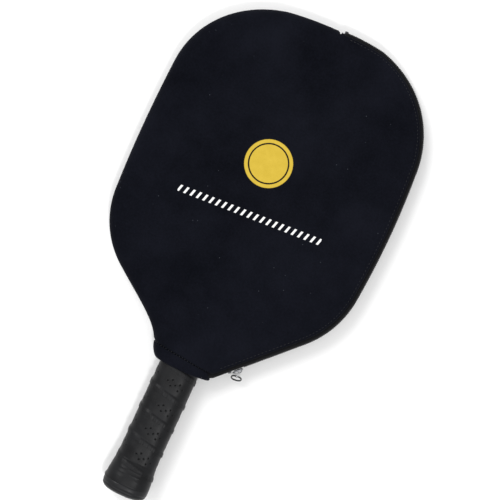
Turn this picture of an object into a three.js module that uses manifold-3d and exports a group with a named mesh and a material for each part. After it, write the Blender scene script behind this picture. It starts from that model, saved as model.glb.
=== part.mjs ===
// Zipped neoprene cover for a pickleball paddle, with the paddle inside it.
// Millimetres. +Y runs along the paddle from the butt to the tip, +X points to the
// zipped side and +Z up through the front panel. Z = 0 is the flat outer face of the
// back panel, and X = 0, Y = 0 is the middle of that face.
import * as THREE from 'three';
import * as BufferGeometryUtils from 'three/addons/utils/BufferGeometryUtils.js';
import Module from 'manifold-3d';

const wasm = await Module();
wasm.setup();

// ---------------------------------------------------------------- driving sizes
const CASE_THICKNESS = 24;
const MID_Z = CASE_THICKNESS / 2;      // plane of the side seam and of the zip
const WALL = 3.2;                      // neoprene sheet
const EDGE_ROUND = 8.5;                // rounding of the panel edges, outside
const CAVITY_ROUND = 2.5;              // and inside
const GAP = 0.3;                       // clearance between touching pieces
const ZIP_BAND = 4.5;                  // visible width of the zip outside the panels

const THROAT_LEFT = new THREE.Vector2(-27.8, -139.4);   // ends of the neck seam
const THROAT_RIGHT = new THREE.Vector2(23.5, -144.6);
const ZIP_START = new THREE.Vector2(27.5, -148.6);
const ZIP_END = new THREE.Vector2(6, 143);
const FLANK_END = new THREE.Vector2(80, -96);           // end of the straight zip run
const FOLD_Z = 26;                     // height of the line that the flap folds about

const NECK_HALF_WIDTH = 25.6;
const NECK_HALF_HEIGHT = 17;
const NECK_POWER = 3.2;                // 2 makes the neck an ellipse, more makes it boxier
const CUFF_BOTTOM_Y = -152;
const CUFF_HALF_WIDTH = 18.7;
const CUFF_HALF_HEIGHT = 16;
const CUFF_WALL = 1.8;

const BINDING_WIDTH = 5;
const BINDING_THICKNESS = 0.5;

const CORE_HALF = 7.4;                 // half the thickness of the paddle's core
const SHEET = 0.5;                     // face sheet on each side of the core
const GUARD_HALF = 8.5;                // half the height of the edge guard
const GUARD_LIP = 6;                   // how far its lips reach over the faces
const GLUE = 0.05;                     // clearance between the core and a face sheet
const TANG_HALF_WIDTH = 12.2;          // the core's tongue inside the handle
const BLADE_BOTTOM_Y = -112;           // the guard is left out below this height

const BUTT_Y = -260;
const GRIP_END_Y = -128.6;
const BAND_LENGTH = 6;                 // finishing band that holds the end of the wrap
const GRIP_HALF_WIDTH = 16;
const GRIP_HALF_HEIGHT = 13;
const GRIP_WALL = 1.5;
const GRIP_CHAMFER = 7;
const BUTT_HALF_WIDTH = 18.6;
const BUTT_HALF_HEIGHT = 17;
const FLARE_TOP_Y = -232;
const TANG_END_Y = BUTT_Y + 9;
const PALLET_DRAFT = 3.6;              // how much narrower a handle half is at its face

const COIL_DEPTH = 2.1;                // tooth row, measured inwards from the zip line
const COIL_INNER = 0.65;               // tooth row, nearest and furthest distance
const COIL_OUTER = 2.3;                // from the plane of the zip
const TAPE_HALF = 0.4;                 // half the thickness of a zip tape
const TAPE_FROM_DEG = -5;              // a tape's two edges, as angles round the edge
const TAPE_TO_DEG = 53;
const TAPE_END_TO_DEG = 42;            // narrower beside the neck, clear of the folding flap
const SLIDER_AT = 20.5;                // distance of the closed slider along the zip
const CHAIN_FROM = 25.6;               // where the rows of teeth begin
const STOP_AT = 15.3;                  // far end of the top stops, beside the slider
const STOP_LENGTH = 2.4;
const END_STOP_LENGTH = 3;
const END_STOP_HALF = 2.6;
const FAR = 200;                       // beyond the whole object on every side
const LINK_REST_DEG = -38;             // pull link, swung towards the throat
const RING_REST_DEG = 58;              // pull ring, hanging down

// ---------------------------------------------------------------- mesh helpers
function closedGeometry(positions, indices) {
  const g = new THREE.BufferGeometry();
  g.setAttribute('position', new THREE.Float32BufferAttribute(positions, 3));
  g.setIndex(indices);
  return g;
}

// A closed body through a row of closed sections, each an array of Vector3 with the
// same number of points, capped at both ends unless the row closes on itself.
function loft(sections, closed = false) {
  const n = sections[0].length;
  const positions = [];
  const indices = [];
  for (const section of sections) {
    for (const p of section) positions.push(p.x, p.y, p.z);
  }
  const rows = closed ? sections.length : sections.length - 1;
  for (let i = 0; i < rows; i += 1) {
    const next = (i + 1) % sections.length;
    for (let j = 0; j < n; j += 1) {
      const k = (j + 1) % n;
      const a = i * n + j;
      const b = i * n + k;
      const c = next * n + k;
      const d = next * n + j;
      indices.push(a, b, c, a, c, d);
    }
  }
  if (!closed) {
    addCap(sections[0], 0, indices, true);
    addCap(sections[sections.length - 1], (sections.length - 1) * n, indices, false);
  }
  const g = closedGeometry(positions, indices);
  if (signedVolume(g) < 0) {
    const index = g.getIndex();
    for (let t = 0; t < index.count; t += 3) {
      const keep = index.getX(t);
      index.setX(t, index.getX(t + 1));
      index.setX(t + 1, keep);
    }
  }
  return g;
}

function addCap(section, base, indices, flip) {
  const origin = section[0];
  const normal = new THREE.Vector3();
  for (let j = 1; j < section.length - 1; j += 1) {
    const a = section[j].clone().sub(origin);
    const b = section[j + 1].clone().sub(origin);
    normal.add(a.cross(b));
  }
  normal.normalize();
  const u = section[1].clone().sub(origin).normalize();
  const v = normal.clone().cross(u);
  const flat = section.map((p) => {
    const d = p.clone().sub(origin);
    return new THREE.Vector2(d.dot(u), d.dot(v));
  });
  for (const [a, b, c] of THREE.ShapeUtils.triangulateShape(flat, [])) {
    if (flip) indices.push(base + a, base + c, base + b);
    else indices.push(base + a, base + b, base + c);
  }
}

function signedVolume(g) {
  const p = g.getAttribute('position');
  const index = g.getIndex();
  const a = new THREE.Vector3();
  const b = new THREE.Vector3();
  const c = new THREE.Vector3();
  let sum = 0;
  for (let t = 0; t < index.count; t += 3) {
    a.fromBufferAttribute(p, index.getX(t));
    b.fromBufferAttribute(p, index.getX(t + 1));
    c.fromBufferAttribute(p, index.getX(t + 2));
    sum += a.dot(b.cross(c));
  }
  return sum;
}

function toSolid(geometry) {
  const bare = geometry.clone();
  bare.deleteAttribute('normal');
  bare.deleteAttribute('uv');
  const merged = BufferGeometryUtils.mergeVertices(bare, 1e-4);
  return new wasm.Manifold(new wasm.Mesh({
    numProp: 3,
    vertProperties: merged.getAttribute('position').array,
    triVerts: new Uint32Array(merged.getIndex().array),
  }));
}

function toGeometry(solid) {
  const mesh = solid.getMesh();
  return closedGeometry(Array.from(mesh.vertProperties), Array.from(mesh.triVerts));
}

function bevelSteps(round) {
  if (round > 4) return 4;
  return round > 2 ? 2 : 1;
}

// A slab with rounded edges between z0 and z1. outline is a list of Vector2, and the
// slab's widest section lies inset inside it.
function slab(outline, z0, z1, round, inset = 0) {
  const g = new THREE.ExtrudeGeometry(new THREE.Shape(outline), {
    depth: z1 - z0 - 2 * round,
    bevelThickness: round,
    bevelSize: round,
    bevelOffset: -round - inset,
    bevelSegments: bevelSteps(round),
    bevelEnabled: round > 0 || inset > 0,
  });
  g.translate(0, 0, z0 + round);
  return toSolid(g);
}

function box(x0, x1, y0, y1, z0, z1) {
  const g = new THREE.BoxGeometry(x1 - x0, y1 - y0, z1 - z0);
  g.translate((x0 + x1) / 2, (y0 + y1) / 2, (z0 + z1) / 2);
  return toSolid(g);
}

// Everything on one side of a vertical plane through two points, as a long block.
function halfSpace(from, to, offset) {
  const along = to.clone().sub(from).normalize();
  const side = new THREE.Vector2(along.y, -along.x);
  const reach = 3 * FAR;
  const corner = (s, o) => from.clone()
    .addScaledVector(along, s)
    .addScaledVector(side, o);
  const outline = [
    corner(-reach, offset),
    corner(-reach, reach),
    corner(reach, reach),
    corner(reach, offset),
  ];
  const g = new THREE.ExtrudeGeometry(new THREE.Shape(outline), {
    depth: FAR,
    bevelEnabled: false,
  });
  g.translate(0, 0, MID_Z - FAR / 2);
  return toSolid(g);
}

// ---------------------------------------------------------------- outlines
const LEFT_FLANK_END = new THREE.Vector2(-74, -98.5);

// Sewn side: neck, hollow flank, lower corner, side, top corner, top.
function leftEdgePath() {
  const path = new THREE.Path();
  path.moveTo(THROAT_LEFT.x, THROAT_LEFT.y);
  path.bezierCurveTo(-32, -127, -52, -115, LEFT_FLANK_END.x, LEFT_FLANK_END.y);
  path.bezierCurveTo(-90, -87, -104, -68, -104.5, -40);
  path.quadraticCurveTo(-107, 10, -104.3, 66);
  path.bezierCurveTo(-103, 98, -80, 128, -40, 137.5);
  path.quadraticCurveTo(-20, 141, ZIP_END.x, 141);
  return path;
}

// Zipped side: straight flank, lower corner, side, top corner, top.
function zipPath() {
  const path = new THREE.Path();
  path.moveTo(ZIP_START.x, ZIP_START.y);
  path.lineTo(FLANK_END.x, FLANK_END.y);
  path.bezierCurveTo(93, -83.5, 104, -66, 105.2, -40);
  path.quadraticCurveTo(109.5, 12, 105.8, 62);
  path.bezierCurveTo(105, 97, 83, 130, 42, 141);
  path.quadraticCurveTo(26, 143.6, ZIP_END.x, ZIP_END.y);
  return path;
}

const zipLine = zipPath();
const zipLength = zipLine.getLength();

function zipFrame(distance) {
  const u = Math.min(1, Math.max(0, distance / zipLength));
  const point = zipLine.getPointAt(u);
  const tangent = zipLine.getTangentAt(u);
  return { point, tangent, outward: new THREE.Vector2(tangent.y, -tangent.x) };
}

// Sections of a solid that runs along the zip: profile is a list of [inwards, up].
function alongZip(profile, from, to, step) {
  const count = Math.max(1, Math.round((to - from) / step));
  const sections = [];
  for (let i = 0; i <= count; i += 1) {
    const { point, outward } = zipFrame(from + ((to - from) * i) / count);
    sections.push(profile.map(([inwards, up]) => new THREE.Vector3(
      point.x - outward.x * inwards,
      point.y - outward.y * inwards,
      MID_Z + up,
    )));
  }
  return loft(sections);
}

// Outline of the closed case without the last stretch of the zip, which stands
// slightly proud of the sewn side.
const CURVE_STEPS = 10;
const caseOutline = [
  ...zipLine.getPoints(CURVE_STEPS).slice(0, -CURVE_STEPS),
  ...leftEdgePath().getPoints(CURVE_STEPS).reverse(),
];

// The blade follows the case about 5 mm inside it, the same on both sides.
function bladeOutline() {
  const path = new THREE.Path();
  path.moveTo(14, -128);
  path.bezierCurveTo(26, -127, 51, -109, 71, -94);
  path.bezierCurveTo(86, -82.7, 99.9, -66.4, 99.3, -38);
  path.quadraticCurveTo(101.9, 10, 99.3, 64);
  path.bezierCurveTo(98.4, 94, 76, 126.4, 39, 132.4);
  path.quadraticCurveTo(22, 135.4, 0, 135.4);
  const right = path.getPoints(8);
  const left = right.slice(0, -1).map((p) => new THREE.Vector2(-p.x, p.y)).reverse();
  return [...right, ...left];
}

// ---------------------------------------------------------------- neoprene shell
function roundedSection(y, skew, halfWidth, halfHeight, centreX = 0) {
  const points = [];
  const count = 24;
  const power = 2 / NECK_POWER;
  for (let i = 0; i < count; i += 1) {
    const a = (2 * Math.PI * i) / count;
    const c = Math.cos(a);
    const s = Math.sin(a);
    const x = centreX + halfWidth * Math.sign(c) * Math.abs(c) ** power;
    const z = MID_Z + halfHeight * Math.sign(s) * Math.abs(s) ** power;
    points.push(new THREE.Vector3(x, y + skew * x, z));
  }
  return points;
}

const throatSkew = (THROAT_RIGHT.y - THROAT_LEFT.y) / (THROAT_RIGHT.x - THROAT_LEFT.x);
const throatCentreX = (THROAT_LEFT.x + THROAT_RIGHT.x) / 2;
const throatY = THROAT_LEFT.y - throatSkew * THROAT_LEFT.x;

// The raised part of the case over the end of the grip, thinned by a wall all round.
function hood(wall) {
  const stations = [
    [throatY - 12, NECK_HALF_WIDTH, NECK_HALF_HEIGHT, throatCentreX],
    [throatY, NECK_HALF_WIDTH, NECK_HALF_HEIGHT, throatCentreX],
    [-124, 27, NECK_HALF_HEIGHT, -1],
    [-108, 27, 14, 0],
    [-84, 22, 11.6, 0],
  ];
  return toSolid(loft(stations.map(([y, w, h, cx]) => (
    roundedSection(y, throatSkew, w - wall, h - wall, cx)
  ))));
}

const ZIP_ROOM_STEP = 9;

// Hollow case without the room for the zip and without its neck end.
function makeShell() {
  const outer = slab(caseOutline, 0, CASE_THICKNESS, EDGE_ROUND).add(hood(0));
  const inner = slab(
    caseOutline,
    WALL,
    CASE_THICKNESS - WALL,
    CAVITY_ROUND,
    WALL,
  ).add(hood(WALL));
  const zipRoom = toSolid(alongZip(
    [[-5, -30], [ZIP_BAND, -30], [ZIP_BAND, 30], [-5, 30]],
    0,
    zipLength,
    ZIP_ROOM_STEP,
  ));
  const belowThroat = halfSpace(THROAT_LEFT, THROAT_RIGHT, -GAP);
  return outer.subtract(inner).subtract(zipRoom).subtract(belowThroat);
}

const foldStart = new THREE.Vector2(21.5, -144.4);
const foldEnd = new THREE.Vector2(ZIP_END.x, ZIP_END.y);

function frontHalf(shell) {
  return shell.subtract(box(-FAR, FAR, -FAR, FAR, -FAR, MID_Z + GAP / 2));
}

function flapRegion(offset) {
  return halfSpace(foldStart, foldEnd, offset);
}

const shell = makeShell();
const front = frontHalf(shell);
const flapSide = front.intersect(flapRegion(GAP));
const fixedSide = front.subtract(flapRegion(-GAP));
const back = shell.subtract(box(-FAR, FAR, -FAR, FAR, MID_Z - GAP / 2, FAR));

// ---------------------------------------------------------------- neck cuff
function cuffSection(share, wall) {
  const halfWidth = THREE.MathUtils.lerp(CUFF_HALF_WIDTH, NECK_HALF_WIDTH, share ** 0.6);
  const halfHeight = THREE.MathUtils.lerp(CUFF_HALF_HEIGHT, NECK_HALF_HEIGHT, share);
  const y = THREE.MathUtils.lerp(CUFF_BOTTOM_Y, throatY - 2 * GAP, share);
  const centreX = THREE.MathUtils.lerp(0, throatCentreX, share);
  return roundedSection(y, throatSkew * share, halfWidth - wall, halfHeight - wall, centreX);
}

function neckCuff() {
  const shares = [0, 0.3, 0.65, 1];
  const outer = shares.map((share) => cuffSection(share, 0));
  const inner = shares.map((share) => cuffSection(share, CUFF_WALL)).reverse();
  return loft([...outer, ...inner], true);
}

// Folded tape that binds the sewn edge on the inside.
function seamBinding() {
  const path = leftEdgePath();
  const count = 36;
  const sections = [];
  for (let i = 2; i <= count - 1; i += 1) {
    const point = path.getPointAt(i / count);
    const tangent = path.getTangentAt(i / count);
    const inward = new THREE.Vector2(tangent.y, -tangent.x);
    const corner = (depth, up) => new THREE.Vector3(
      point.x + inward.x * depth,
      point.y + inward.y * depth,
      MID_Z + up,
    );
    const near = WALL + 2 * GAP;
    const far = near + BINDING_THICKNESS;
    const half = BINDING_WIDTH / 2;
    sections.push([
      corner(near, -half), corner(far, -half), corner(far, half), corner(near, half),
    ]);
  }
  return loft(sections);
}

// ---------------------------------------------------------------- zip
// The tape follows the rounded edge from the row of teeth to the edge of the panel.
function tapeProfile(side, toDeg = TAPE_TO_DEG) {
  const centre = EDGE_ROUND + 0.1;
  const rise = MID_Z - centre;
  const radius = EDGE_ROUND - 0.8;
  const steps = 4;
  const arc = (r) => Array.from({ length: steps + 1 }, (_, i) => {
    const a = THREE.MathUtils.degToRad(
      THREE.MathUtils.lerp(TAPE_FROM_DEG, toDeg, i / steps),
    );
    return [centre - r * Math.cos(a), side * (rise + r * Math.sin(a))];
  });
  return [...arc(radius + TAPE_HALF), ...arc(radius - TAPE_HALF).reverse()];
}

function teethProfile(side) {
  return [
    [0, side * COIL_INNER],
    [0, side * COIL_OUTER],
    [COIL_DEPTH, side * COIL_OUTER],
    [COIL_DEPTH, side * COIL_INNER],
  ];
}

const ZIP_STEP = 8;
const tapeEnd = zipLength - 2;
const teethEnd = zipLength - END_STOP_LENGTH - 3;

// ---------------------------------------------------------------- slider and pull
// Local axes of the slider: X along the zip, Y outwards, Z up. Origin on the zip line.
const SLIDER = {
  halfLength: 4.6,
  halfWidth: 3.8,
  outerPlate: [0.4, 1.3],
  innerPlate: [-3.8, -3],
  flangeOuter: 0,
  flangeWidth: 0.7,
  finHalf: 0.35,
};
const BAR = { from: 2.5, to: 3.2, halfLength: 2.7, halfWidth: 0.6, leg: 0.8 };
const LINK = { pivot: 1.95, inner: 0.3, holeEnd: 4.1, end: 5, half: 1.8, hole: 1.05 };
const RING = { halfLength: 4.2, halfWidth: 4.6, wire: 0.6, pinAt: 3.4 };

function sliderBody() {
  const s = SLIDER;
  const plate = (y0, y1, trim) => slab(
    [
      new THREE.Vector2(-s.halfLength, -s.halfWidth + trim),
      new THREE.Vector2(s.halfLength - 1.5, -s.halfWidth + trim),
      new THREE.Vector2(s.halfLength, -s.halfWidth + trim + 1.2),
      new THREE.Vector2(s.halfLength, s.halfWidth - trim - 1.2),
      new THREE.Vector2(s.halfLength - 1.5, s.halfWidth - trim),
      new THREE.Vector2(-s.halfLength, s.halfWidth - trim),
    ],
    y0,
    y1,
    0.2,
  );
  const outer = plate(...s.outerPlate, 0);
  const inner = plate(...s.innerPlate, 0.4);
  // In this flat layout X runs along the zip, Y across it and Z outwards.
  const flanges = [-1, 1].map((side) => {
    const edges = [side * (s.halfWidth - s.flangeWidth), side * s.halfWidth];
    return box(
      -s.halfLength + 0.4,
      s.halfLength - 1.8,
      Math.min(...edges),
      Math.max(...edges),
      s.flangeOuter,
      s.outerPlate[0] + 0.3,
    );
  });
  const fin = box(1.2, 3.4, -s.finHalf, s.finHalf, s.innerPlate[1] - 0.3, s.outerPlate[0] + 0.3);
  const body = outer.add(inner).add(flanges[0]).add(flanges[1]).add(fin);
  const g = toGeometry(body);
  g.rotateX(-Math.PI / 2);
  return g;
}

function sliderBridge() {
  const b = BAR;
  const foot = SLIDER.outerPlate[1] + 0.05;
  const end = b.halfLength + b.leg;
  const outline = [
    new THREE.Vector2(-end, foot),
    new THREE.Vector2(-b.halfLength, foot),
    new THREE.Vector2(-b.halfLength, b.from - 0.3),
    new THREE.Vector2(-b.halfLength + 0.4, b.from),
    new THREE.Vector2(b.halfLength - 0.4, b.from),
    new THREE.Vector2(b.halfLength, b.from - 0.3),
    new THREE.Vector2(b.halfLength, foot),
    new THREE.Vector2(end, foot),
    new THREE.Vector2(end, b.to - 0.7),
    new THREE.Vector2(b.halfLength - 0.3, b.to),
    new THREE.Vector2(-b.halfLength + 0.3, b.to),
    new THREE.Vector2(-end, b.to - 0.7),
  ];
  const g = new THREE.ExtrudeGeometry(new THREE.Shape(outline), {
    depth: 2 * b.halfWidth,
    bevelEnabled: false,
  });
  g.translate(0, 0, -b.halfWidth);
  return g;
}

// Flat oval eye that swings on the bridge. Origin at its pivot, length along +Y.
function pullLink() {
  const outer = ovalShape(LINK.half, -LINK.inner, LINK.end, 12);
  outer.holes.push(ovalShape(LINK.hole, LINK.inner, LINK.holeEnd, 12));
  const g = new THREE.ExtrudeGeometry(outer, {
    depth: 0.8,
    bevelEnabled: false,
    curveSegments: 6,
  });
  g.translate(0, 0, -0.4);
  g.rotateY(Math.PI / 2);
  return g;
}

function ovalShape(half, from, to, count) {
  const shape = new THREE.Shape();
  const r = Math.min(half, (to - from) / 2);
  const points = [];
  for (let i = 0; i < count; i += 1) {
    const a = (2 * Math.PI * (i + 0.5)) / count;
    const y = Math.sin(a) > 0 ? to - r : from + r;
    points.push(new THREE.Vector2(half * Math.cos(a), y + r * Math.sin(a)));
  }
  shape.setFromPoints(points);
  return shape;
}

// Wire ring through the eye. Origin on the wire inside the eye, length along +Y.
function pullRing() {
  const sections = [];
  const count = 20;
  const sides = 6;
  for (let i = 0; i < count; i += 1) {
    const a = (2 * Math.PI * i) / count;
    const radial = new THREE.Vector3(Math.cos(a), Math.sin(a), 0);
    const centre = new THREE.Vector3(
      (RING.halfWidth - RING.wire) * Math.cos(a),
      (RING.halfLength - RING.wire) * (1 + Math.sin(a)),
      0,
    );
    sections.push(Array.from({ length: sides }, (_, j) => {
      const b = (2 * Math.PI * j) / sides;
      return centre.clone()
        .addScaledVector(radial, RING.wire * Math.cos(b))
        .add(new THREE.Vector3(0, 0, RING.wire * Math.sin(b)));
    }));
  }
  return loft(sections, true);
}

// ---------------------------------------------------------------- paddle
function octagon(y, halfWidth, halfHeight, chamfer) {
  const w = halfWidth;
  const h = halfHeight;
  const c = chamfer;
  return [
    [w, -h + c], [w, h - c], [w - c, h], [-w + c, h],
    [-w, h - c], [-w, -h + c], [-w + c, -h], [w - c, -h],
  ].map(([x, z]) => new THREE.Vector3(x, y, MID_Z + z));
}

// Octagonal sleeve on the handle between two heights.
function gripSleeve(from, to) {
  const w = GRIP_HALF_WIDTH;
  const h = GRIP_HALF_HEIGHT;
  const t = GRIP_WALL;
  return loft([
    octagon(from, w, h, GRIP_CHAMFER),
    octagon(to, w, h, GRIP_CHAMFER),
    octagon(to, w - t, h - t, GRIP_CHAMFER - 1),
    octagon(from, w - t, h - t, GRIP_CHAMFER - 1),
  ], true);
}

// Flared cap, hollow towards the handle.
function buttCap() {
  const w = BUTT_HALF_WIDTH;
  const h = BUTT_HALF_HEIGHT;
  const bodyWidth = GRIP_HALF_WIDTH - GRIP_WALL + GAP;
  const bodyHeight = GRIP_HALF_HEIGHT - GRIP_WALL + GAP;
  return loft([
    octagon(BUTT_Y, w - 8, h - 8, 4),
    octagon(BUTT_Y + 1.2, w - 3.5, h - 3.5, 6.5),
    octagon(BUTT_Y + 5, w - 0.4, h - 0.4, 8),
    octagon(BUTT_Y + 12, w, h, 8),
    octagon(BUTT_Y + 20, w - 1.6, h - 1.9, 7.6),
    octagon(FLARE_TOP_Y - GAP, GRIP_HALF_WIDTH, GRIP_HALF_HEIGHT, GRIP_CHAMFER),
    octagon(FLARE_TOP_Y - GAP, bodyWidth, bodyHeight, GRIP_CHAMFER - 1),
    octagon(BUTT_Y + 8, bodyWidth, bodyHeight, GRIP_CHAMFER - 1),
  ]);
}

// Front and back halves of the handle, glued on the tang of the core.
function handlePallet(side) {
  const near = side * (CORE_HALF + 0.2);
  const far = side * (GRIP_HALF_HEIGHT - GRIP_WALL - 0.2);
  const w = TANG_HALF_WIDTH;
  const section = (y) => [
    [-w, near], [w, near], [w - PALLET_DRAFT, far], [-w + PALLET_DRAFT, far],
  ].map(([x, z]) => new THREE.Vector3(x, y, MID_Z + z));
  return loft([section(TANG_END_Y), section(GRIP_END_Y + 1)]);
}

const blade = bladeOutline();

function bladeCore() {
  const plate = slab(blade, MID_Z - CORE_HALF, MID_Z + CORE_HALF, 0, 1);
  const w = TANG_HALF_WIDTH;
  const tang = box(-w, w, TANG_END_Y, BLADE_BOTTOM_Y, MID_Z - CORE_HALF, MID_Z + CORE_HALF);
  return plate.add(tang);
}

function faceSheet(side) {
  const near = MID_Z + side * (CORE_HALF + GLUE);
  const far = MID_Z + side * (CORE_HALF + GLUE + SHEET);
  const sheet = slab(blade, Math.min(near, far), Math.max(near, far), 0, 1);
  const reach = GRIP_END_Y + 1.5;
  return sheet.subtract(box(-FAR, FAR, -FAR, reach, -FAR, FAR));
}

// Strip with a channel section that grips the edge of the core and both sheets.
function edgeGuard() {
  const outer = slab(blade, MID_Z - GUARD_HALF, MID_Z + GUARD_HALF, 0.9);
  const window = slab(blade, MID_Z - FAR, MID_Z + FAR, 0, GUARD_LIP);
  const grooveHalf = CORE_HALF + SHEET + 2 * GLUE;
  const groove = slab(blade, MID_Z - grooveHalf, MID_Z + grooveHalf, 0, 0.9);
  const openNeck = box(-30, 30, -FAR, BLADE_BOTTOM_Y, -FAR, FAR);
  return outer.subtract(window).subtract(groove).subtract(openNeck);
}

// ---------------------------------------------------------------- materials
const material = (color, roughness, metalness = 0) => new THREE.MeshStandardMaterial({
  color,
  roughness,
  metalness,
});
const neoprene = material('#12141b', 0.92);
const binding = material('#0e0f13', 0.95);
const tape = material('#101115', 0.9);
const nylon = material('#16171a', 0.45);
const gunmetal = material('#8b8e93', 0.3, 1);
const darkWire = material('#1b1c1f', 0.4, 0.6);
const polymer = material('#d9d7cf', 0.6);
const carbon = material('#24262a', 0.45);
const guard = material('#0d0d0e', 0.5);
const foam = material('#3a3a3c', 0.9);
const gripTape = material('#1c1d20', 0.5);
const rubber = material('#111214', 0.55);

const root = new THREE.Group();

function add(name, geometry, look, parent = root) {
  const mesh = new THREE.Mesh(geometry, look.clone());
  mesh.name = name;
  parent.add(mesh);
  return mesh;
}

add('back_panel', toGeometry(back), neoprene);
add('front_panel', toGeometry(fixedSide), neoprene);
add('front_flap', toGeometry(flapSide), neoprene);
add('neck_cuff', neckCuff(), neoprene);
add('seam_binding', seamBinding(), binding);

for (const [name, side] of [['front', 1], ['back', -1]]) {
  const start = side > 0 ? CHAIN_FROM : 1;
  add(`${name}_zip_tape`, alongZip(tapeProfile(side), start, tapeEnd, ZIP_STEP), tape);
  add(`${name}_zip_teeth`, alongZip(teethProfile(side), CHAIN_FROM, teethEnd, ZIP_STEP), nylon);
  add(
    `${name}_top_stop`,
    alongZip(teethProfile(side), STOP_AT - STOP_LENGTH, STOP_AT, STOP_LENGTH),
    gunmetal,
  );
}
add(
  'front_tape_end',
  alongZip(tapeProfile(1, TAPE_END_TO_DEG), 1, CHAIN_FROM - 2 * GAP, ZIP_STEP),
  tape,
);
add(
  'zip_end_stop',
  alongZip(
    [
      [-0.4, -END_STOP_HALF],
      [-0.4, END_STOP_HALF],
      [COIL_DEPTH, END_STOP_HALF],
      [COIL_DEPTH, -END_STOP_HALF],
    ],
    teethEnd + 1.2,
    teethEnd + 1.2 + END_STOP_LENGTH,
    END_STOP_LENGTH,
  ),
  gunmetal,
);

const sliderAt = zipFrame(SLIDER_AT);
const slider = new THREE.Group();
slider.position.set(sliderAt.point.x, sliderAt.point.y, MID_Z);
slider.rotation.z = Math.atan2(sliderAt.tangent.y, sliderAt.tangent.x) + Math.PI;
root.add(slider);
add('slider_body', sliderBody(), gunmetal, slider);
add('slider_bridge', sliderBridge(), gunmetal, slider);

const link = new THREE.Group();
link.position.set(0, LINK.pivot, 0);
link.rotation.z = THREE.MathUtils.degToRad(LINK_REST_DEG);
slider.add(link);
add('pull_link', pullLink(), gunmetal, link);

const ring = new THREE.Group();
ring.position.set(0, RING.pinAt, 0);
ring.rotation.x = -THREE.MathUtils.degToRad(RING_REST_DEG);
link.add(ring);
add('pull_ring', pullRing(), darkWire, ring);

add('paddle_core', toGeometry(bladeCore()), polymer);
add('paddle_front_face', toGeometry(faceSheet(1)), carbon);
add('paddle_back_face', toGeometry(faceSheet(-1)), carbon);
add('paddle_edge_guard', toGeometry(edgeGuard()), guard);
add('handle_front_half', handlePallet(1), foam);
add('handle_back_half', handlePallet(-1), foam);
add('grip_wrap', gripSleeve(FLARE_TOP_Y, GRIP_END_Y - BAND_LENGTH - GAP), gripTape);
add('finishing_band', gripSleeve(GRIP_END_Y - BAND_LENGTH, GRIP_END_Y), rubber);
add('butt_cap', buttCap(), rubber);

export default root;
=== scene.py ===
"""Looks of the zipped neoprene paddle cover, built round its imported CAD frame.

The code works in millimetres in the row frame: +Y from the butt to the tip, +X to the
zipped side, +Z up through the front panel. Meshes are scaled to metres when made.
"""

import math
from contextlib import contextmanager

import bmesh
import bpy
import numpy as np
from mathutils import Matrix, Vector, geometry


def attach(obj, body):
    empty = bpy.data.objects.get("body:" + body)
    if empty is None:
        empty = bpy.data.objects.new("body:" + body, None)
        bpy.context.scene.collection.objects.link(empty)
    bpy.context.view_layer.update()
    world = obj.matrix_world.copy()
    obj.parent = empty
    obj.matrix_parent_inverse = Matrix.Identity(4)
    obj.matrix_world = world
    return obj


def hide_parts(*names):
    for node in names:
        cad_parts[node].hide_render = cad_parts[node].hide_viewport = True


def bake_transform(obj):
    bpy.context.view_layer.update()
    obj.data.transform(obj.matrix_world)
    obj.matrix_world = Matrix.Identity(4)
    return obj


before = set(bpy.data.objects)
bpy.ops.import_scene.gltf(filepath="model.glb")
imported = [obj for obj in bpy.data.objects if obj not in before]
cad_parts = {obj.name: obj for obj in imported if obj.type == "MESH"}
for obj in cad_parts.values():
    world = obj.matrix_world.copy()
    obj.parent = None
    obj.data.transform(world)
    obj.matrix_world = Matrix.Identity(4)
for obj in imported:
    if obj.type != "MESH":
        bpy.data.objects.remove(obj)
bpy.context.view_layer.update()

MM = 0.001
MID_Z = 12.0
REST = "rest"  # attribute that holds a point's place at rest, in millimetres

# ------------------------------------------------------------------ outlines


def bezier(points, count=90):
    """Points of the Bezier curve with these control points."""
    t = np.linspace(0, 1, count)[:, None]
    row = [np.array(p, float) for p in points]
    while len(row) > 1:
        row = [a * (1 - t) + b * t for a, b in zip(row, row[1:])]
    return row[0]


class Path:
    """A smooth line in plan, read by the distance along it."""

    def __init__(self, *pieces):
        parts = [bezier(p) for p in pieces]
        self.line = np.vstack([parts[0]] + [p[1:] for p in parts[1:]])
        steps = np.linalg.norm(np.diff(self.line, axis=0), axis=1)
        self.along = np.concatenate([[0], np.cumsum(steps)])
        self.length = self.along[-1]

    def at(self, s):
        """Points at these distances; the line runs on straight before its start."""
        s = np.asarray(s, float)
        point = np.stack([np.interp(s, self.along, self.line[:, k]) for k in (0, 1)], -1)
        first = (self.line[1] - self.line[0]) / self.along[1]
        return point + np.minimum(s, 0)[..., None] * first

    def tangent(self, s, reach=1.5):
        """Directions along the line, evened out over the reach."""
        s = np.asarray(s, float)
        a = self.at(np.clip(s, -10, self.length) - reach)
        b = self.at(np.clip(s + reach, 0, self.length))
        d = b - a
        return d / np.linalg.norm(d, axis=-1, keepdims=True)


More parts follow.
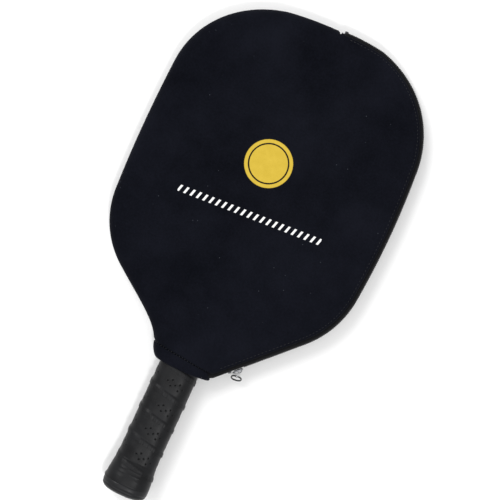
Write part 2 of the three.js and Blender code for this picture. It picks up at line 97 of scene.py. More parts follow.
LEFT = Path(
    [(-27.8, -139.4), (-32, -127), (-52, -115), (-74, -98.5)],
    [(-74, -98.5), (-90, -87), (-104, -68), (-104.5, -40)],
    [(-104.5, -40), (-107, 10), (-104.3, 66)],
    [(-104.3, 66), (-103, 98), (-80, 128), (-40, 137.5)],
    [(-40, 137.5), (-20, 141), (6, 141)],
)
ZIP = Path(
    [(27.5, -148.6), (80, -96)],
    [(80, -96), (93, -83.5), (104, -66), (105.2, -40)],
    [(105.2, -40), (109.5, 12), (105.8, 62)],
    [(105.8, 62), (105, 97), (83, 130), (42, 141)],
    [(42, 141), (26, 143.6), (6, 143)],
)
THROAT_LEFT = np.array([-27.8, -139.4])
THROAT_RIGHT = np.array([23.5, -144.6])
SEAM_DIR = (THROAT_RIGHT - THROAT_LEFT) / np.linalg.norm(THROAT_RIGHT - THROAT_LEFT)
SEAM_UP = np.array([-SEAM_DIR[1], SEAM_DIR[0]])  # towards the tip
SEAM_SKEW = SEAM_DIR[1] / SEAM_DIR[0]
SEAM_Y = THROAT_LEFT[1] - SEAM_SKEW * THROAT_LEFT[0]  # where the seam crosses x = 0
ZIP_AT_SEAM = 4.62  # where the neck seam's line meets the zip line

NECK_POWER = 3.2  # 2 makes the neck an ellipse, more makes it boxier
NECK_CENTRE_X = -2.15
NECK_HALF_WIDTH = 25.6
NECK_HALF_HEIGHT = 17.0


def smooth(x, low=0.0, high=1.0):
    """Runs from 0 at low to 1 at high without a corner."""
    t = np.clip((np.asarray(x, float) - low) / (high - low), 0, 1)
    return t * t * (3 - 2 * t)


def squared(value):
    """Makes a circle's cosine or sine into that of the neck's boxier section."""
    return np.sign(value) * np.abs(value) ** (2 / NECK_POWER)


def ripple(x, y, wave, seed, count=9):
    """Soft waves of about that length in plan, between about -1 and 1."""
    rng = np.random.default_rng(seed)
    total = 0
    for _ in range(count):
        turn, phase = rng.uniform(0, 2 * math.pi, 2)
        length = wave * rng.uniform(0.7, 1.6)
        across = x * math.cos(turn) + y * math.sin(turn)
        total = total + np.sin(across * 2 * math.pi / length + phase)
    return total / math.sqrt(count * 2)


# ------------------------------------------------------------------ floor line


FLOOR_FROM_Y = -250.0  # under the butt
FLOOR_TO_Y = 140.0  # under the tip
FLOOR_AT_BUTT = -5.25
FLOOR_RISE = 5.2


def floor_z(y):
    """Height of the surface that the object lies on: it touches the butt and the tip."""
    along = np.asarray(y, float) - FLOOR_FROM_Y
    return FLOOR_AT_BUTT + along * FLOOR_RISE / (FLOOR_TO_Y - FLOOR_FROM_Y)


# ------------------------------------------------------------------ mesh helpers


def grid_faces(rows, cols, close_cols=False, close_rows=False):
    """Four-sided faces of a grid of points, closed round either way if asked."""
    faces = []
    for i in range(rows if close_rows else rows - 1):
        below = (i + 1) % rows
        for j in range(cols if close_cols else cols - 1):
            k = (j + 1) % cols
            faces.append((i * cols + j, i * cols + k, below * cols + k, below * cols + j))
    return faces


def capped_grid(rows, cols):
    """Faces of a closed bar: a grid closed round its columns, with a face at each end."""
    ends = [tuple(range(cols)), tuple(range((rows - 1) * cols, rows * cols))]
    return grid_faces(rows, cols, close_cols=True) + ends


def added(name, data):
    """A new object of the scene."""
    obj = bpy.data.objects.new(name, data)
    bpy.context.scene.collection.objects.link(obj)
    return obj


@contextmanager
def editing(obj):
    """Opens an object's mesh for editing and writes it back."""
    bm = bmesh.new()
    bm.from_mesh(obj.data)
    yield bm
    bm.to_mesh(obj.data)
    bm.free()


def new_mesh(name, points, faces, materials=(), face_material=None):
    """An object from points in millimetres, its faces turned outwards, shaded smooth."""
    mesh = bpy.data.meshes.new(name)
    mesh.from_pydata([tuple(p) for p in np.asarray(points, float) * MM], [], faces)
    for m in materials:
        mesh.materials.append(m)
    if face_material is not None:
        mesh.polygons.foreach_set("material_index", face_material)
    obj = added(name, mesh)
    tidy_mesh(obj)
    return obj


def tidy_mesh(obj, merge=1e-7):
    """Merges doubled points, turns the faces outwards and shades them smooth."""
    with editing(obj) as bm:
        bmesh.ops.remove_doubles(bm, verts=bm.verts, dist=merge)
        bmesh.ops.dissolve_degenerate(bm, dist=1e-8, edges=bm.edges)
        bmesh.ops.recalc_face_normals(bm, faces=bm.faces)
        for face in bm.faces:
            face.smooth = True


def drop_loose(obj):
    """Takes away points that no face uses."""
    with editing(obj) as bm:
        loose = [v for v in bm.verts if not v.link_faces]
        bmesh.ops.delete(bm, geom=loose, context="VERTS")


def bar(name, rows, material):
    """A closed bar through sections that are rows of points."""
    rows = np.array(rows)
    return new_mesh(name, rows.reshape(-1, 3), capped_grid(*rows.shape[:2]), (material,))


def keep_rest(obj):
    """Stores each point's place at rest, so that patterns stay put on a piece that bends."""
    co = np.zeros(len(obj.data.vertices) * 3, np.float32)
    obj.data.vertices.foreach_get("co", co)
    attribute = obj.data.attributes.new(REST, "FLOAT_VECTOR", "POINT")
    attribute.data.foreach_set("vector", co / MM)


def sharp_edges(obj, degrees=35):
    """Splits the shading at edges sharper than the angle."""
    with editing(obj) as bm:
        for edge in bm.edges:
            if len(edge.link_faces) == 2 and edge.calc_face_angle(0) > math.radians(degrees):
                edge.smooth = False
    return obj


def bevel(obj, width, segments=3):
    """Rounds the edges sharper than 30 degrees."""
    modifier = obj.modifiers.new("edges", "BEVEL")
    modifier.width = width * MM
    modifier.segments = segments
    modifier.limit_method = "ANGLE"
    modifier.angle_limit = math.radians(30)
    modifier.harden_normals = False
    graph = bpy.context.evaluated_depsgraph_get()
    mesh = bpy.data.meshes.new_from_object(obj.evaluated_get(graph), depsgraph=graph)
    obj.modifiers.clear()
    obj.data = mesh
    for polygon in obj.data.polygons:
        polygon.use_smooth = True
    return sharp_edges(obj, 50)


def finish_piece(obj, body, replaced=()):
    """Stores a piece's rest places, parents it to its body or, for the fold, bakes its placement
    into its mesh, and hides the CAD parts that it replaces.
    """
    keep_rest(obj)
    if body == "fold":
        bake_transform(obj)
    else:
        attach(obj, body)
    if replaced:
        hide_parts(*replaced)
    return obj


def tube(centres, radii, sides, closed=False, up=(0.0, 0.0, 1.0)):
    """Points and faces of a tube round a line of 3-D centres."""
    centres = np.asarray(centres, float)
    n = len(centres)
    radii = np.broadcast_to(radii, (n,))
    if closed:
        ahead = np.roll(centres, -1, 0) - np.roll(centres, 1, 0)
    else:
        ahead = np.gradient(centres, axis=0)
    ahead /= np.linalg.norm(ahead, axis=1, keepdims=True)
    side = np.cross(ahead, np.broadcast_to(np.asarray(up, float), centres.shape))
    weak = np.linalg.norm(side, axis=1) < 0.05
    side[weak] = np.cross(ahead[weak], [1.0, 0.2, 0.0])
    side /= np.linalg.norm(side, axis=1, keepdims=True)
    above = np.cross(side, ahead)
    turn = np.linspace(0, 2 * math.pi, sides, endpoint=False)
    points = (
        centres[:, None]
        + side[:, None] * (radii[:, None] * np.cos(turn))[..., None]
        + above[:, None] * (radii[:, None] * np.sin(turn))[..., None]
    )
    if closed:
        faces = grid_faces(n, sides, close_cols=True, close_rows=True)
    else:
        faces = capped_grid(n, sides)
    return points.reshape(-1, 3), faces


def joined(parts):
    """Several (points, faces) as one."""
    points, faces, base = [], [], 0
    for p, f in parts:
        points.append(p)
        faces += [tuple(i + base for i in face) for face in f]
        base += len(p)
    return np.vstack(points), faces


# ------------------------------------------------------------------ materials


def shade(color, by):
    """A colour made darker or lighter by a factor."""
    return [by * c for c in color]


class Nodes:
    """A material's node tree with short calls for the nodes used here."""

    def __init__(self, name, rest=True):
        self.material = bpy.data.materials.new(name)
        self.material.use_nodes = True
        self.tree = self.material.node_tree
        self.tree.nodes.clear()
        out = self.node("OutputMaterial")
        self.shader = self.node("BsdfPrincipled")
        self.link(self.shader.outputs[0], out.inputs["Surface"])
        if rest:
            self.place = self.node("Attribute", attribute_name=REST).outputs["Vector"]
        else:
            scale = self.node("VectorMath", operation="SCALE")
            scale.inputs["Scale"].default_value = 1 / MM
            self.link(self.node("TexCoord").outputs["Object"], scale.inputs[0])
            self.place = scale.outputs[0]

    def link(self, a, b):
        self.tree.links.new(a, b)

    def node(self, kind, **settings):
        """A new node of that kind with these settings."""
        made = self.tree.nodes.new("ShaderNode" + kind)
        for key, value in settings.items():
            setattr(made, key, value)
        return made

    def put(self, socket, value):
        """Links a socket to another, or sets it to a plain value."""
        if isinstance(value, bpy.types.NodeSocket):
            self.link(value, socket)
        else:
            socket.default_value = value

    def set(self, **values):
        """Sets the surface's own inputs."""
        names = {
            "roughness": "Roughness", "metallic": "Metallic", "specular": "Specular IOR Level",
            "sheen": "Sheen Weight", "sheen_roughness": "Sheen Roughness",
            "sheen_tint": "Sheen Tint", "coat": "Coat Weight", "color": "Base Color",
        }
        for key, value in values.items():
            self.put(self.shader.inputs[names[key]], value)

    def stretched(self, by):
        """The place, stretched along each axis if asked."""
        if by is None:
            return self.place
        node = self.node("VectorMath", operation="MULTIPLY")
        node.inputs[1].default_value = by
        self.link(self.place, node.inputs[0])
        return node.outputs[0]

    def noise(self, size, detail=2.0, rough=0.5, stretch=None):
        """Noise with features of about that size in millimetres, from 0 to 1."""
        node = self.node("TexNoise")
        node.inputs["Scale"].default_value = 1 / size
        node.inputs["Detail"].default_value = detail
        node.inputs["Roughness"].default_value = rough
        self.link(self.stretched(stretch), node.inputs["Vector"])
        return node.outputs["Fac"]

    def cells(self, size, feature="F1", stretch=None, random=1.0):
        """Distance in a pattern of cells of about that size in millimetres."""
        node = self.node("TexVoronoi", feature=feature)
        node.inputs["Scale"].default_value = 1 / size
        node.inputs["Randomness"].default_value = random
        self.link(self.stretched(stretch), node.inputs["Vector"])
        return node.outputs["Distance"]

    def wave(self, size, direction="X"):
        """Even bands of that pitch in millimetres, from 0 to 1."""
        node = self.node("TexWave", wave_type="BANDS", bands_direction=direction, wave_profile="SIN")
        # A wave texture repeats every 2 pi / 20 of its own unit.
        node.inputs["Scale"].default_value = 0.31416 / size
        node.inputs["Distortion"].default_value = 0.0
        self.link(self.place, node.inputs["Vector"])
        return node.outputs["Fac"]

    def math(self, kind, a, b=0.0, c=None):
        """One sum or comparison of sockets or plain values."""
        node = self.node("Math", operation=kind)
        for socket, value in zip(node.inputs, (a, b, c)):
            if value is not None:
                self.put(socket, value)
        return node.outputs[0]

    def product(self, first, *others):
        """All of them multiplied."""
        for other in others:
            first = self.math("MULTIPLY", first, other)
        return first

    def part(self, axis):
        """One coordinate of the place, in millimetres."""
        node = self.node("SeparateXYZ")
        self.link(self.place, node.inputs[0])
        return node.outputs["XYZ".index(axis)]

    def range(self, value, a, b, to_a=0.0, to_b=1.0):
        """The value moved from the range a to b into another, and held inside it."""
        node = self.node("MapRange", interpolation_type="LINEAR")
        self.put(node.inputs["Value"], value)
        for key, v in (("From Min", a), ("From Max", b), ("To Min", to_a), ("To Max", to_b)):
            self.put(node.inputs[key], v)
        return node.outputs["Result"]

    def mix(self, factor, a, b):
        """Runs from the colour a to the colour b."""
        node = self.node("Mix", data_type="RGBA")
        self.put(node.inputs[0], factor)
        for socket, value in ((node.inputs[6], a), (node.inputs[7], b)):
            self.put(socket, value if isinstance(value, bpy.types.NodeSocket) else (*value, 1))
        return node.outputs[2]

    def tones(self, factor, color, low, high):
        """Runs from a darker to a lighter tone of one colour."""
        return self.mix(factor, shade(color, low), shade(color, high))

    def bump(self, *layers):
        """Layers are (height, strength, distance in millimetres)."""
        normal = None
        for height, strength, distance in layers:
            node = self.node("Bump")
            node.inputs["Strength"].default_value = strength
            node.inputs["Distance"].default_value = distance * MM
            self.link(height, node.inputs["Height"])
            if normal is not None:
                self.link(normal, node.inputs["Normal"])
            normal = node.outputs["Normal"]
        self.link(normal, self.shader.inputs["Normal"])


def jersey(name, dark, light, print_on=False):
    """Knitted nylon face of a neoprene sheet, with ink on it if asked."""
    n = Nodes(name)
    cloud = n.noise(42, 3, 0.55)
    speck = n.noise(1.7, 3, 0.7)
    fine = n.noise(0.7, 1, 0.6)
    tone = n.math("MULTIPLY_ADD", cloud, 0.55, n.product(speck, 0.45))
    color = n.mix(n.range(tone, 0.36, 0.66), dark, light)
    lint = n.range(n.cells(7.0), 0.035, 0.06, 1.0, 0.0)
    lint = n.product(lint, n.range(n.noise(9, 0), 0.55, 0.62), 0.35)
    color = n.mix(lint, color, (0.10, 0.11, 0.13))
    rough = n.range(speck, 0.3, 0.7, 0.72, 0.92)
    knit = n.product(n.wave(0.62, "X"), n.wave(0.48, "Y"))
    if print_on:
        color, rough = add_print(n, color, rough, fine)
    n.set(
        color=color, roughness=rough, specular=0.03, sheen=0.045,
        sheen_roughness=0.35, sheen_tint=(0.75, 0.78, 0.9, 1),
    )
    n.bump((speck, 0.28, 0.35), (knit, 0.22, 0.10), (fine, 0.25, 0.12))
    return n.material


DISC_CENTRE = (-3.3, 22.8)
DISC_RADIUS = 19.0
RING_INSET = 3.4  # of the thin ring's middle from the disc's edge
DASHES_FROM = (-58.0, -23.0)
DASHES_LENGTH = 116.0
DASHES_TURN = math.radians(3.45)
DASH_PITCH = 5.27
DASH_HALF_HEIGHT = 2.6
DASH_HALF_WIDTH = 0.875
DASH_SLANT = 0.35


def add_print(n, color, rough, fine):
    """A plain yellow disc with one thin ring left open in it, and a row of white dashes."""
    x, y = n.part("X"), n.part("Y")
    front = n.math("GREATER_THAN", n.part("Z"), MID_Z)
    dx = n.math("SUBTRACT", x, DISC_CENTRE[0])
    dy = n.math("SUBTRACT", y, DISC_CENTRE[1])
    away = n.math("SQRT", n.math("ADD", n.product(dx, dx), n.product(dy, dy)))
    away = n.math("ADD", away, n.range(fine, 0, 1, -0.18, 0.18))
    disc = n.range(away, DISC_RADIUS - 0.2, DISC_RADIUS + 0.2, 1, 0)
    from_ring = n.math("ABSOLUTE", n.math("SUBTRACT", away, DISC_RADIUS - RING_INSET))
    disc = n.product(disc, n.range(from_ring, 0.45, 0.75, 0, 1), front)

    c, s = math.cos(DASHES_TURN), math.sin(DASHES_TURN)
    ux = n.math("SUBTRACT", x, DASHES_FROM[0])
    uy = n.math("SUBTRACT", y, DASHES_FROM[1])
    along = n.math("ADD", n.product(ux, c), n.product(uy, s))
    across = n.math("SUBTRACT", n.product(uy, c), n.product(ux, s))
    leaning = n.math("SUBTRACT", along, n.product(across, DASH_SLANT))
    place = n.math("PINGPONG", leaning, DASH_PITCH / 2)
    place = n.math("ADD", place, n.range(fine, 0, 1, -0.12, 0.12))
    dash = n.range(place, DASH_HALF_WIDTH - 0.125, DASH_HALF_WIDTH + 0.125, 1, 0)
    height = n.math("ABSOLUTE", across)
    tall = n.range(height, DASH_HALF_HEIGHT - 0.15, DASH_HALF_HEIGHT + 0.15, 1, 0)
    begun = n.range(along, -1.3, -1.1)
    not_ended = n.range(along, DASHES_LENGTH + 1.1, DASHES_LENGTH + 1.3, 1, 0)
    dash = n.product(dash, tall, begun, not_ended, front)

    wear = n.range(n.noise(0.9, 2, 0.7), 0.2, 0.42, 0.86, 1.0)
    yellow = n.mix(n.noise(6, 3), (0.43, 0.30, 0.030), (0.53, 0.38, 0.052))
    white = n.mix(n.noise(3, 2), (0.62, 0.62, 0.62), (0.80, 0.80, 0.79))
    color = n.mix(n.product(disc, wear), color, yellow)
    color = n.mix(n.product(dash, wear), color, white)
    ink = n.math("MAXIMUM", disc, dash)
    return color, n.mix(ink, rough, (0.6, 0.6, 0.6))


def foam_rubber(name, color):
    """Cut edge of closed-cell rubber, with painted shade in its pores."""
    n = Nodes(name)
    pores = n.cells(0.5)
    tone = n.tones(n.noise(4, 3), color, 0.7, 1.3)
    # Painted shade: the pores are darkened.
    tone = n.mix(n.range(pores, 0.0, 0.3), shade(color, 0.4), tone)
    n.set(color=tone, roughness=0.85, specular=0.3)
    n.bump((pores, 0.4, 0.15), (n.noise(1.5, 2), 0.3, 0.2))
    return n.material


def woven(name, color, pitch=0.55):
    """Twill tape, with painted shade in the hollows between its threads."""
    n = Nodes(name)
    warp = n.wave(pitch, "DIAGONAL")
    cross = n.wave(pitch * 1.4, "Z")
    tone = n.tones(n.noise(2.5, 3), color, 0.65, 1.5)
    # Painted shade: the weave's hollows are darkened.
    tone = n.mix(n.range(warp, 0.1, 0.6), shade(color, 0.4), tone)
    n.set(color=tone, roughness=0.82, specular=0.08, sheen=0.03)
    n.bump((warp, 0.5, 0.18), (cross, 0.3, 0.1), (n.noise(0.5, 2), 0.3, 0.08))
    return n.material


def plastic(name, color, rough=0.4, grain=0.25, specular=0.5, size=0.8):
    """Moulded plastic or rubber with a fine grain and handling smudges."""
    n = Nodes(name)
    smudge = n.noise(6, 3, 0.6)
    tone = n.tones(smudge, color, 0.75, 1.3)
    rough = n.range(smudge, 0.3, 0.7, rough - 0.08, rough + 0.12)
    n.set(color=tone, roughness=rough, specular=specular)
    n.bump((n.noise(size, 3, 0.6), grain, 0.08), (n.cells(size * 0.6), grain * 0.6, 0.04))
    return n.material


def metal(name, color, rough=0.28):
    """Plated die casting with fine rubbed scratches."""
    n = Nodes(name)
    scratch = n.noise(0.25, 3, 0.7, stretch=(1, 0.12, 0.6))
    smudge = n.noise(1.6, 3, 0.6)
    n.set(
        color=n.tones(n.range(smudge, 0.3, 0.75), color, 0.7, 1.0),
        roughness=n.range(scratch, 0.3, 0.75, rough, rough + 0.25), metallic=1.0,
    )
    n.bump((scratch, 0.12, 0.05), (n.noise(0.8, 2), 0.1, 0.05))
    return n.material


def grip_leather(name):
    """Pebbled polyurethane wrap, with painted shade darkening its punched holes."""
    n = Nodes(name)
    hole = n.node("Attribute", attribute_name="hole").outputs["Fac"]
    pebble = n.cells(0.85, feature="SMOOTH_F1", stretch=(1, 0.85, 1))
    crease = n.noise(3.2, 4, 0.65, stretch=(0.5, 1.6, 0.8))
    smudge = n.noise(13, 4, 0.6)
    tone = n.mix(n.range(smudge, 0.3, 0.7), (0.0026, 0.0027, 0.0032), (0.0060, 0.0063, 0.0074))
    # Painted shade: the punched holes are darkened to near black.
    tone = n.mix(n.range(hole, 0.25, 0.6), tone, (0.0004, 0.0004, 0.0004))
    rough = n.range(smudge, 0.3, 0.7, 0.36, 0.50)
    n.set(color=tone, roughness=n.math("ADD", rough, n.product(hole, 0.5)), specular=0.16)
    n.bump((pebble, 0.16, 0.16), (crease, 0.28, 0.35), (n.noise(0.35, 2), 0.2, 0.06))
    return n.material


def carbon_face(name):
    """Woven carbon sheet with a gritted face."""
    n = Nodes(name)
    a = n.wave(0.9, "DIAGONAL")
    weave = n.cells(1.8, random=0.0)
    grit = n.noise(0.4, 3, 0.8)
    tone = n.mix(n.range(a, 0.3, 0.7), (0.014, 0.015, 0.016), (0.024, 0.025, 0.028))
    tone = n.mix(n.product(weave, 0.4), tone, (0.02, 0.021, 0.024))
    n.set(color=tone, roughness=n.range(grit, 0.3, 0.7, 0.34, 0.6), specular=0.5, coat=0.15)
    n.bump((grit, 0.35, 0.10), (a, 0.1, 0.08))
    return n.material


def honeycomb(name):
    """Cut polypropylene cells, their hollows darkened with painted shade."""
    n = Nodes(name, rest=False)
    wall = n.cells(4.5, feature="DISTANCE_TO_EDGE", random=0.12)
    # Painted shade: the cell walls stay light and the cell hollows are darkened.
    tone = n.mix(n.range(wall, 0.03, 0.10), (0.74, 0.73, 0.69), (0.36, 0.35, 0.32))
    n.set(color=tone, roughness=0.55)
    n.bump((wall, 0.6, 0.5), (n.noise(1.0, 2), 0.2, 0.1))
    return n.material


def handle_foam(name):
    """Moulded foam of the two handle halves."""
    n = Nodes(name, rest=False)
    tone = n.mix(n.noise(3, 3), (0.035, 0.035, 0.037), (0.07, 0.07, 0.072))
    n.set(color=tone, roughness=0.85)
    n.bump((n.cells(0.7), 0.4, 0.15), (n.noise(2, 2), 0.2, 0.2))
    return n.material


def thread(name, color):
    """Twisted sewing thread, with painted highlight on the twist's ridges and painted shade in its
    grooves.
    """
    n = Nodes(name)
    twist = n.wave(0.35, "DIAGONAL")
    # Painted highlight and shade: lighter on the twist's ridges, darker in its grooves.
    n.set(color=n.tones(twist, color, 0.5, 1.5), roughness=0.8, sheen=0.04)
    n.bump((twist, 0.5, 0.08), (n.noise(0.3, 1), 0.2, 0.05))
    return n.material


JERSEY_DARK = (0.0016, 0.0019, 0.0036)
JERSEY_LIGHT = (0.0052, 0.0058, 0.0095)
JERSEY = jersey("jersey_printed", JERSEY_DARK, JERSEY_LIGHT, True)
PLAIN_JERSEY = jersey("jersey_plain", JERSEY_DARK, JERSEY_LIGHT)
LINING = jersey("jersey_lining", (0.010, 0.011, 0.013), (0.024, 0.026, 0.030))
CUT_FOAM = foam_rubber("cut_foam", (0.016, 0.016, 0.018))
TAPE = woven("zip_tape", (0.0048, 0.0049, 0.0058))
BINDING = woven("binding_tape", (0.012, 0.012, 0.014), 0.8)
NYLON = plastic("zip_nylon", (0.0052, 0.0052, 0.0058), 0.32, 0.1, 0.3)
GUNMETAL = metal("zip_metal", (0.22, 0.225, 0.24))
STOP_METAL = metal("stop_metal", (0.07, 0.07, 0.075), 0.35)
PULL_METAL = metal("pull_metal", (0.55, 0.55, 0.56), 0.2)
WIRE = plastic("pull_wire", (0.004, 0.004, 0.0045), 0.25, 0.08, 0.35)
GRIP = grip_leather("grip_polyurethane")
RUBBER = plastic("butt_rubber", (0.0065, 0.0068, 0.0078), 0.4, 0.3, 0.2)
BAND = plastic("finishing_rubber", (0.012, 0.012, 0.013), 0.5, 0.4)
CARBON = carbon_face("paddle_carbon")
GUARD = plastic("guard_plastic", (0.010, 0.010, 0.011), 0.4, 0.3)
CORE = honeycomb("paddle_honeycomb")
FOAM = handle_foam("handle_foam")
THREAD = thread("black_thread", (0.0020, 0.0022, 0.0032))

# ------------------------------------------------------------------ cover panels
EDGE_R = 8.5
EDGE_MIDDLE_UP = EDGE_R - 5.0  # height of the rounded edge's centre over the middle plane
THICK = 3.0
TOP_UP = 12.0
INNER_RING = 13.0  # how far in the swept edge meets the filled middle


def hood_up(x, y, wall=0.0):
    """Height over the middle plane of the raised part that covers the end of the grip."""
    lean = smooth(y, -146, -112)
    half_width = NECK_HALF_WIDTH + 1.6 * lean - 5.0 * smooth(y, -112, -78) - wall
    height = NECK_HALF_HEIGHT - 9.5 * smooth(y, -132, -66) - 7.5 * smooth(y, -66, -20)
    height = np.maximum(height - wall, 0)
    centre = NECK_CENTRE_X * (1 - lean)
    share = np.clip(np.abs(x - centre) / half_width, 0, 1)
    return height * (1 - share**NECK_POWER) ** (1 / NECK_POWER)


def soft_max(a, b, k):
    """The larger of the two, rounded over a width of about k where they cross."""
    return 0.5 * (a + b + np.sqrt((a - b) ** 2 + k**2 + 1e-9))


def on_arc(d):
    """Height of the rounded edge at a distance in from the outline."""
    return EDGE_MIDDLE_UP + EDGE_R * np.sqrt(np.clip(1 - ((EDGE_R - d) / EDGE_R) ** 2, 0, 1))


# Sections of a panel's edge as (in from the outline, up from the middle plane): the sewn
# edge's outer and inner face, then the same for the edge that carries the zip.
ARC = [EDGE_R * (1 - math.cos(math.radians(a))) for a in (8, 17, 26, 35, 44, 53, 62, 72, 81, 90)]
SEWN_OUT = (
    [(1.9, 0.10), (1.15, 0.14), (0.55, 0.38), (0.18, 0.95), (0.02, 1.8), (0.0, 2.9)]
    + [(d, float(on_arc(d))) for d in ARC]
    + [(10.4, TOP_UP), (INNER_RING, TOP_UP)]
)
ROWS = len(SEWN_OUT)
ZIP_LIP = [(5.5, 9.02), (5.0, 9.1), (4.62, 9.45), (4.45, 9.95), (4.5, 10.5), (4.72, 10.95)]
ZIP_OUT = ZIP_LIP + [
    (d, float(on_arc(d))) for d in np.linspace(5.1, INNER_RING - 2, ROWS - 7) if d < EDGE_R
]
ZIP_OUT += [(d, TOP_UP) for d in np.linspace(EDGE_R, INNER_RING, ROWS - len(ZIP_OUT))]
INNER_R = EDGE_R - THICK
SEWN_IN = [(2.3, 0.10), (2.85, 0.5), (3.0, 1.5), (3.0, 3.0)]
SEWN_IN += [
    (EDGE_R - INNER_R * math.cos(a), EDGE_MIDDLE_UP + INNER_R * math.sin(a))
    for a in np.linspace(0.12, math.pi / 2, ROWS - 7)
]
SEWN_IN += [(d, TOP_UP - THICK) for d in np.linspace(9.6, INNER_RING, 3)]
ZIP_IN = [(d, TOP_UP - THICK) for d in np.linspace(5.9, INNER_RING, ROWS)]

FINE_STEPS = [0, 0.35, 0.8, 1.4, 2.2, 3.2, 4.4, 5.8, 7.4]  # near the neck seam
EDGE_STEP = 2.1
NEAR_NECK = 26.0  # over this length the sections turn from along the seam to square


def edge_stations(path, start):
    """Places along an edge: close together at the neck seam and at the tip."""
    stations = [start + f for f in FINE_STEPS]
    stations += list(np.arange(start + 9.4, path.length - 5, EDGE_STEP))
    return stations + list(np.linspace(path.length - 4.2, path.length - 0.3, 7))


def panel_columns():
    """Places along the edge from the left of the neck round to the right: base point,
    inward direction, the direction its section lies in, the share of zip profile, and
    how much wider the section is."""
    columns = []
    for s in edge_stations(LEFT, 0.0):
        tangent = LEFT.tangent(s)
        inward = np.array([tangent[1], -tangent[0]])
        share = float(smooth(s, 0, NEAR_NECK))
        lean = (1 - share) * SEAM_DIR + share * inward
        zipped = 0.5 * float(smooth(s, LEFT.length - 3, LEFT.length))
        columns.append((LEFT.at(s), inward, lean, zipped, 0.0))
    for s in reversed(edge_stations(ZIP, ZIP_AT_SEAM)):
        tangent = ZIP.tangent(s)
        inward = np.array([-tangent[1], tangent[0]])
        share = float(smooth(s, ZIP_AT_SEAM, ZIP_AT_SEAM + NEAR_NECK))
        lean = (1 - share) * -SEAM_DIR + share * inward
        to_tip = ZIP.length - s
        zipped = 0.5 + 0.5 * float(smooth(to_tip, 0, 3))
        extra = 2.0 * (1 - float(smooth(to_tip, 0, 26)))
        columns.append((ZIP.at(s), inward, lean, zipped, extra))
    return columns


def within(border, points):
    """Which points lie inside the closed border."""
    a, b = border, np.roll(border, -1, 0)
    x, y = points[:, :1], points[:, 1:]
    crosses = (a[:, 1] > y) != (b[:, 1] > y)
    rise = np.where(b[:, 1] == a[:, 1], 1e-9, b[:, 1] - a[:, 1])
    at = a[:, 0] + (y - a[:, 1]) * (b[:, 0] - a[:, 0]) / rise
    return (crosses & (x < at)).sum(1) % 2 == 1


def strip_points(columns, sewn, zipped):
    """Plan place and height of every row of every column."""
    plan = np.zeros((len(sewn), len(columns), 2))
    up = np.zeros((len(sewn), len(columns)))
    for j, (base, inward, lean, share, extra) in enumerate(columns):
        lean = lean / np.linalg.norm(lean)
        slant = float(inward @ lean)
        for i, ((d0, u0), (d1, u1)) in enumerate(zip(sewn, zipped)):
            d = d0 + (d1 - d0) * share + extra * smooth(i / (len(sewn) - 1), 0.2, 1)
            plan[i, j] = base + lean * d / slant
            up[i, j] = u0 + (u1 - u0) * share
    return plan, up


FILL_SPACING = 3.3
SEAM_COUNT = 14  # parts of the border along the neck seam
OUTLINE = np.vstack([LEFT.line[::4], ZIP.line[::4]])


def fill_middle(ring):
    """Triangles between the swept edge and the neck seam.

    Gives their points in plan, for each point its place in the ring or a number past its
    end, or -1, and the triangles.
    """
    across_seam = ring[0] - ring[-1]
    seam = [ring[-1] + across_seam * i / SEAM_COUNT for i in range(1, SEAM_COUNT)]
    border = np.vstack([ring, seam])
    low, high = border.min(0), border.max(0)
    xs = np.arange(low[0], high[0], FILL_SPACING)
    ys = np.arange(low[1], high[1], FILL_SPACING * 0.866)
    inside = np.array([(x + (i % 2) * FILL_SPACING / 2, y) for i, y in enumerate(ys) for x in xs])
    near = np.array([np.min(np.hypot(*(border - p).T)) for p in inside])
    inside = inside[(near > 2.1) & within(border, inside)]
    neck_rows = [
        ring[-1] + across_seam * (i + 0.5) / SEAM_COUNT + SEAM_UP * lift
        for lift in (0.5, 1.1, 1.9)
        for i in range(SEAM_COUNT)
    ]
    every = np.vstack([border, inside, neck_rows])
    sides = [(i, (i + 1) % len(border)) for i in range(len(border))]
    made = geometry.delaunay_2d_cdt([Vector(p) for p in every], sides, [], 0, 1e-5, True)
    plan = np.array([tuple(v) for v in made[0]])
    source = [ids[0] if ids else -1 for ids in made[3]]
    triangles = [tuple(f) for f in made[2]]
    centres = np.array([plan[list(f)].mean(0) for f in triangles])
    triangles = [f for f, kept in zip(triangles, within(border, centres)) if kept]
    return plan, source, triangles


def raise_outer(side, plan, up):
    """Lifts the outer face over the grip and the blade's guard, with slow waves."""
    x, y = plan[..., 0], plan[..., 1]
    d = np.array([np.min(np.hypot(*(OUTLINE - p).T)) for p in plan.reshape(-1, 2)])
    d = d.reshape(x.shape)
    raised = soft_max(up, hood_up(x, y), 2.6 * smooth(up, 5, 12))
    waves = 0.22 * ripple(x, y, 95, 3 + side) + 0.10 * ripple(x, y, 34, 7 + side)
    guard = 0.25 * np.exp(-(((d - 10.5) / 4.0) ** 2))
    pulls = 0.16 * ripple(x * 1.6, y * 0.35, 22, 11) * np.exp(-(((y + 118) / 26) ** 2))
    return raised + smooth(d, 5, 26) * (waves + pulls) + guard * smooth(up, 10, 12)


def raise_inner(plan, up):
    """Lifts the lining over the grip."""
    hood = hood_up(plan[..., 0], plan[..., 1], THICK)
    return soft_max(up, hood, 2.0 * smooth(up, 4, 9))


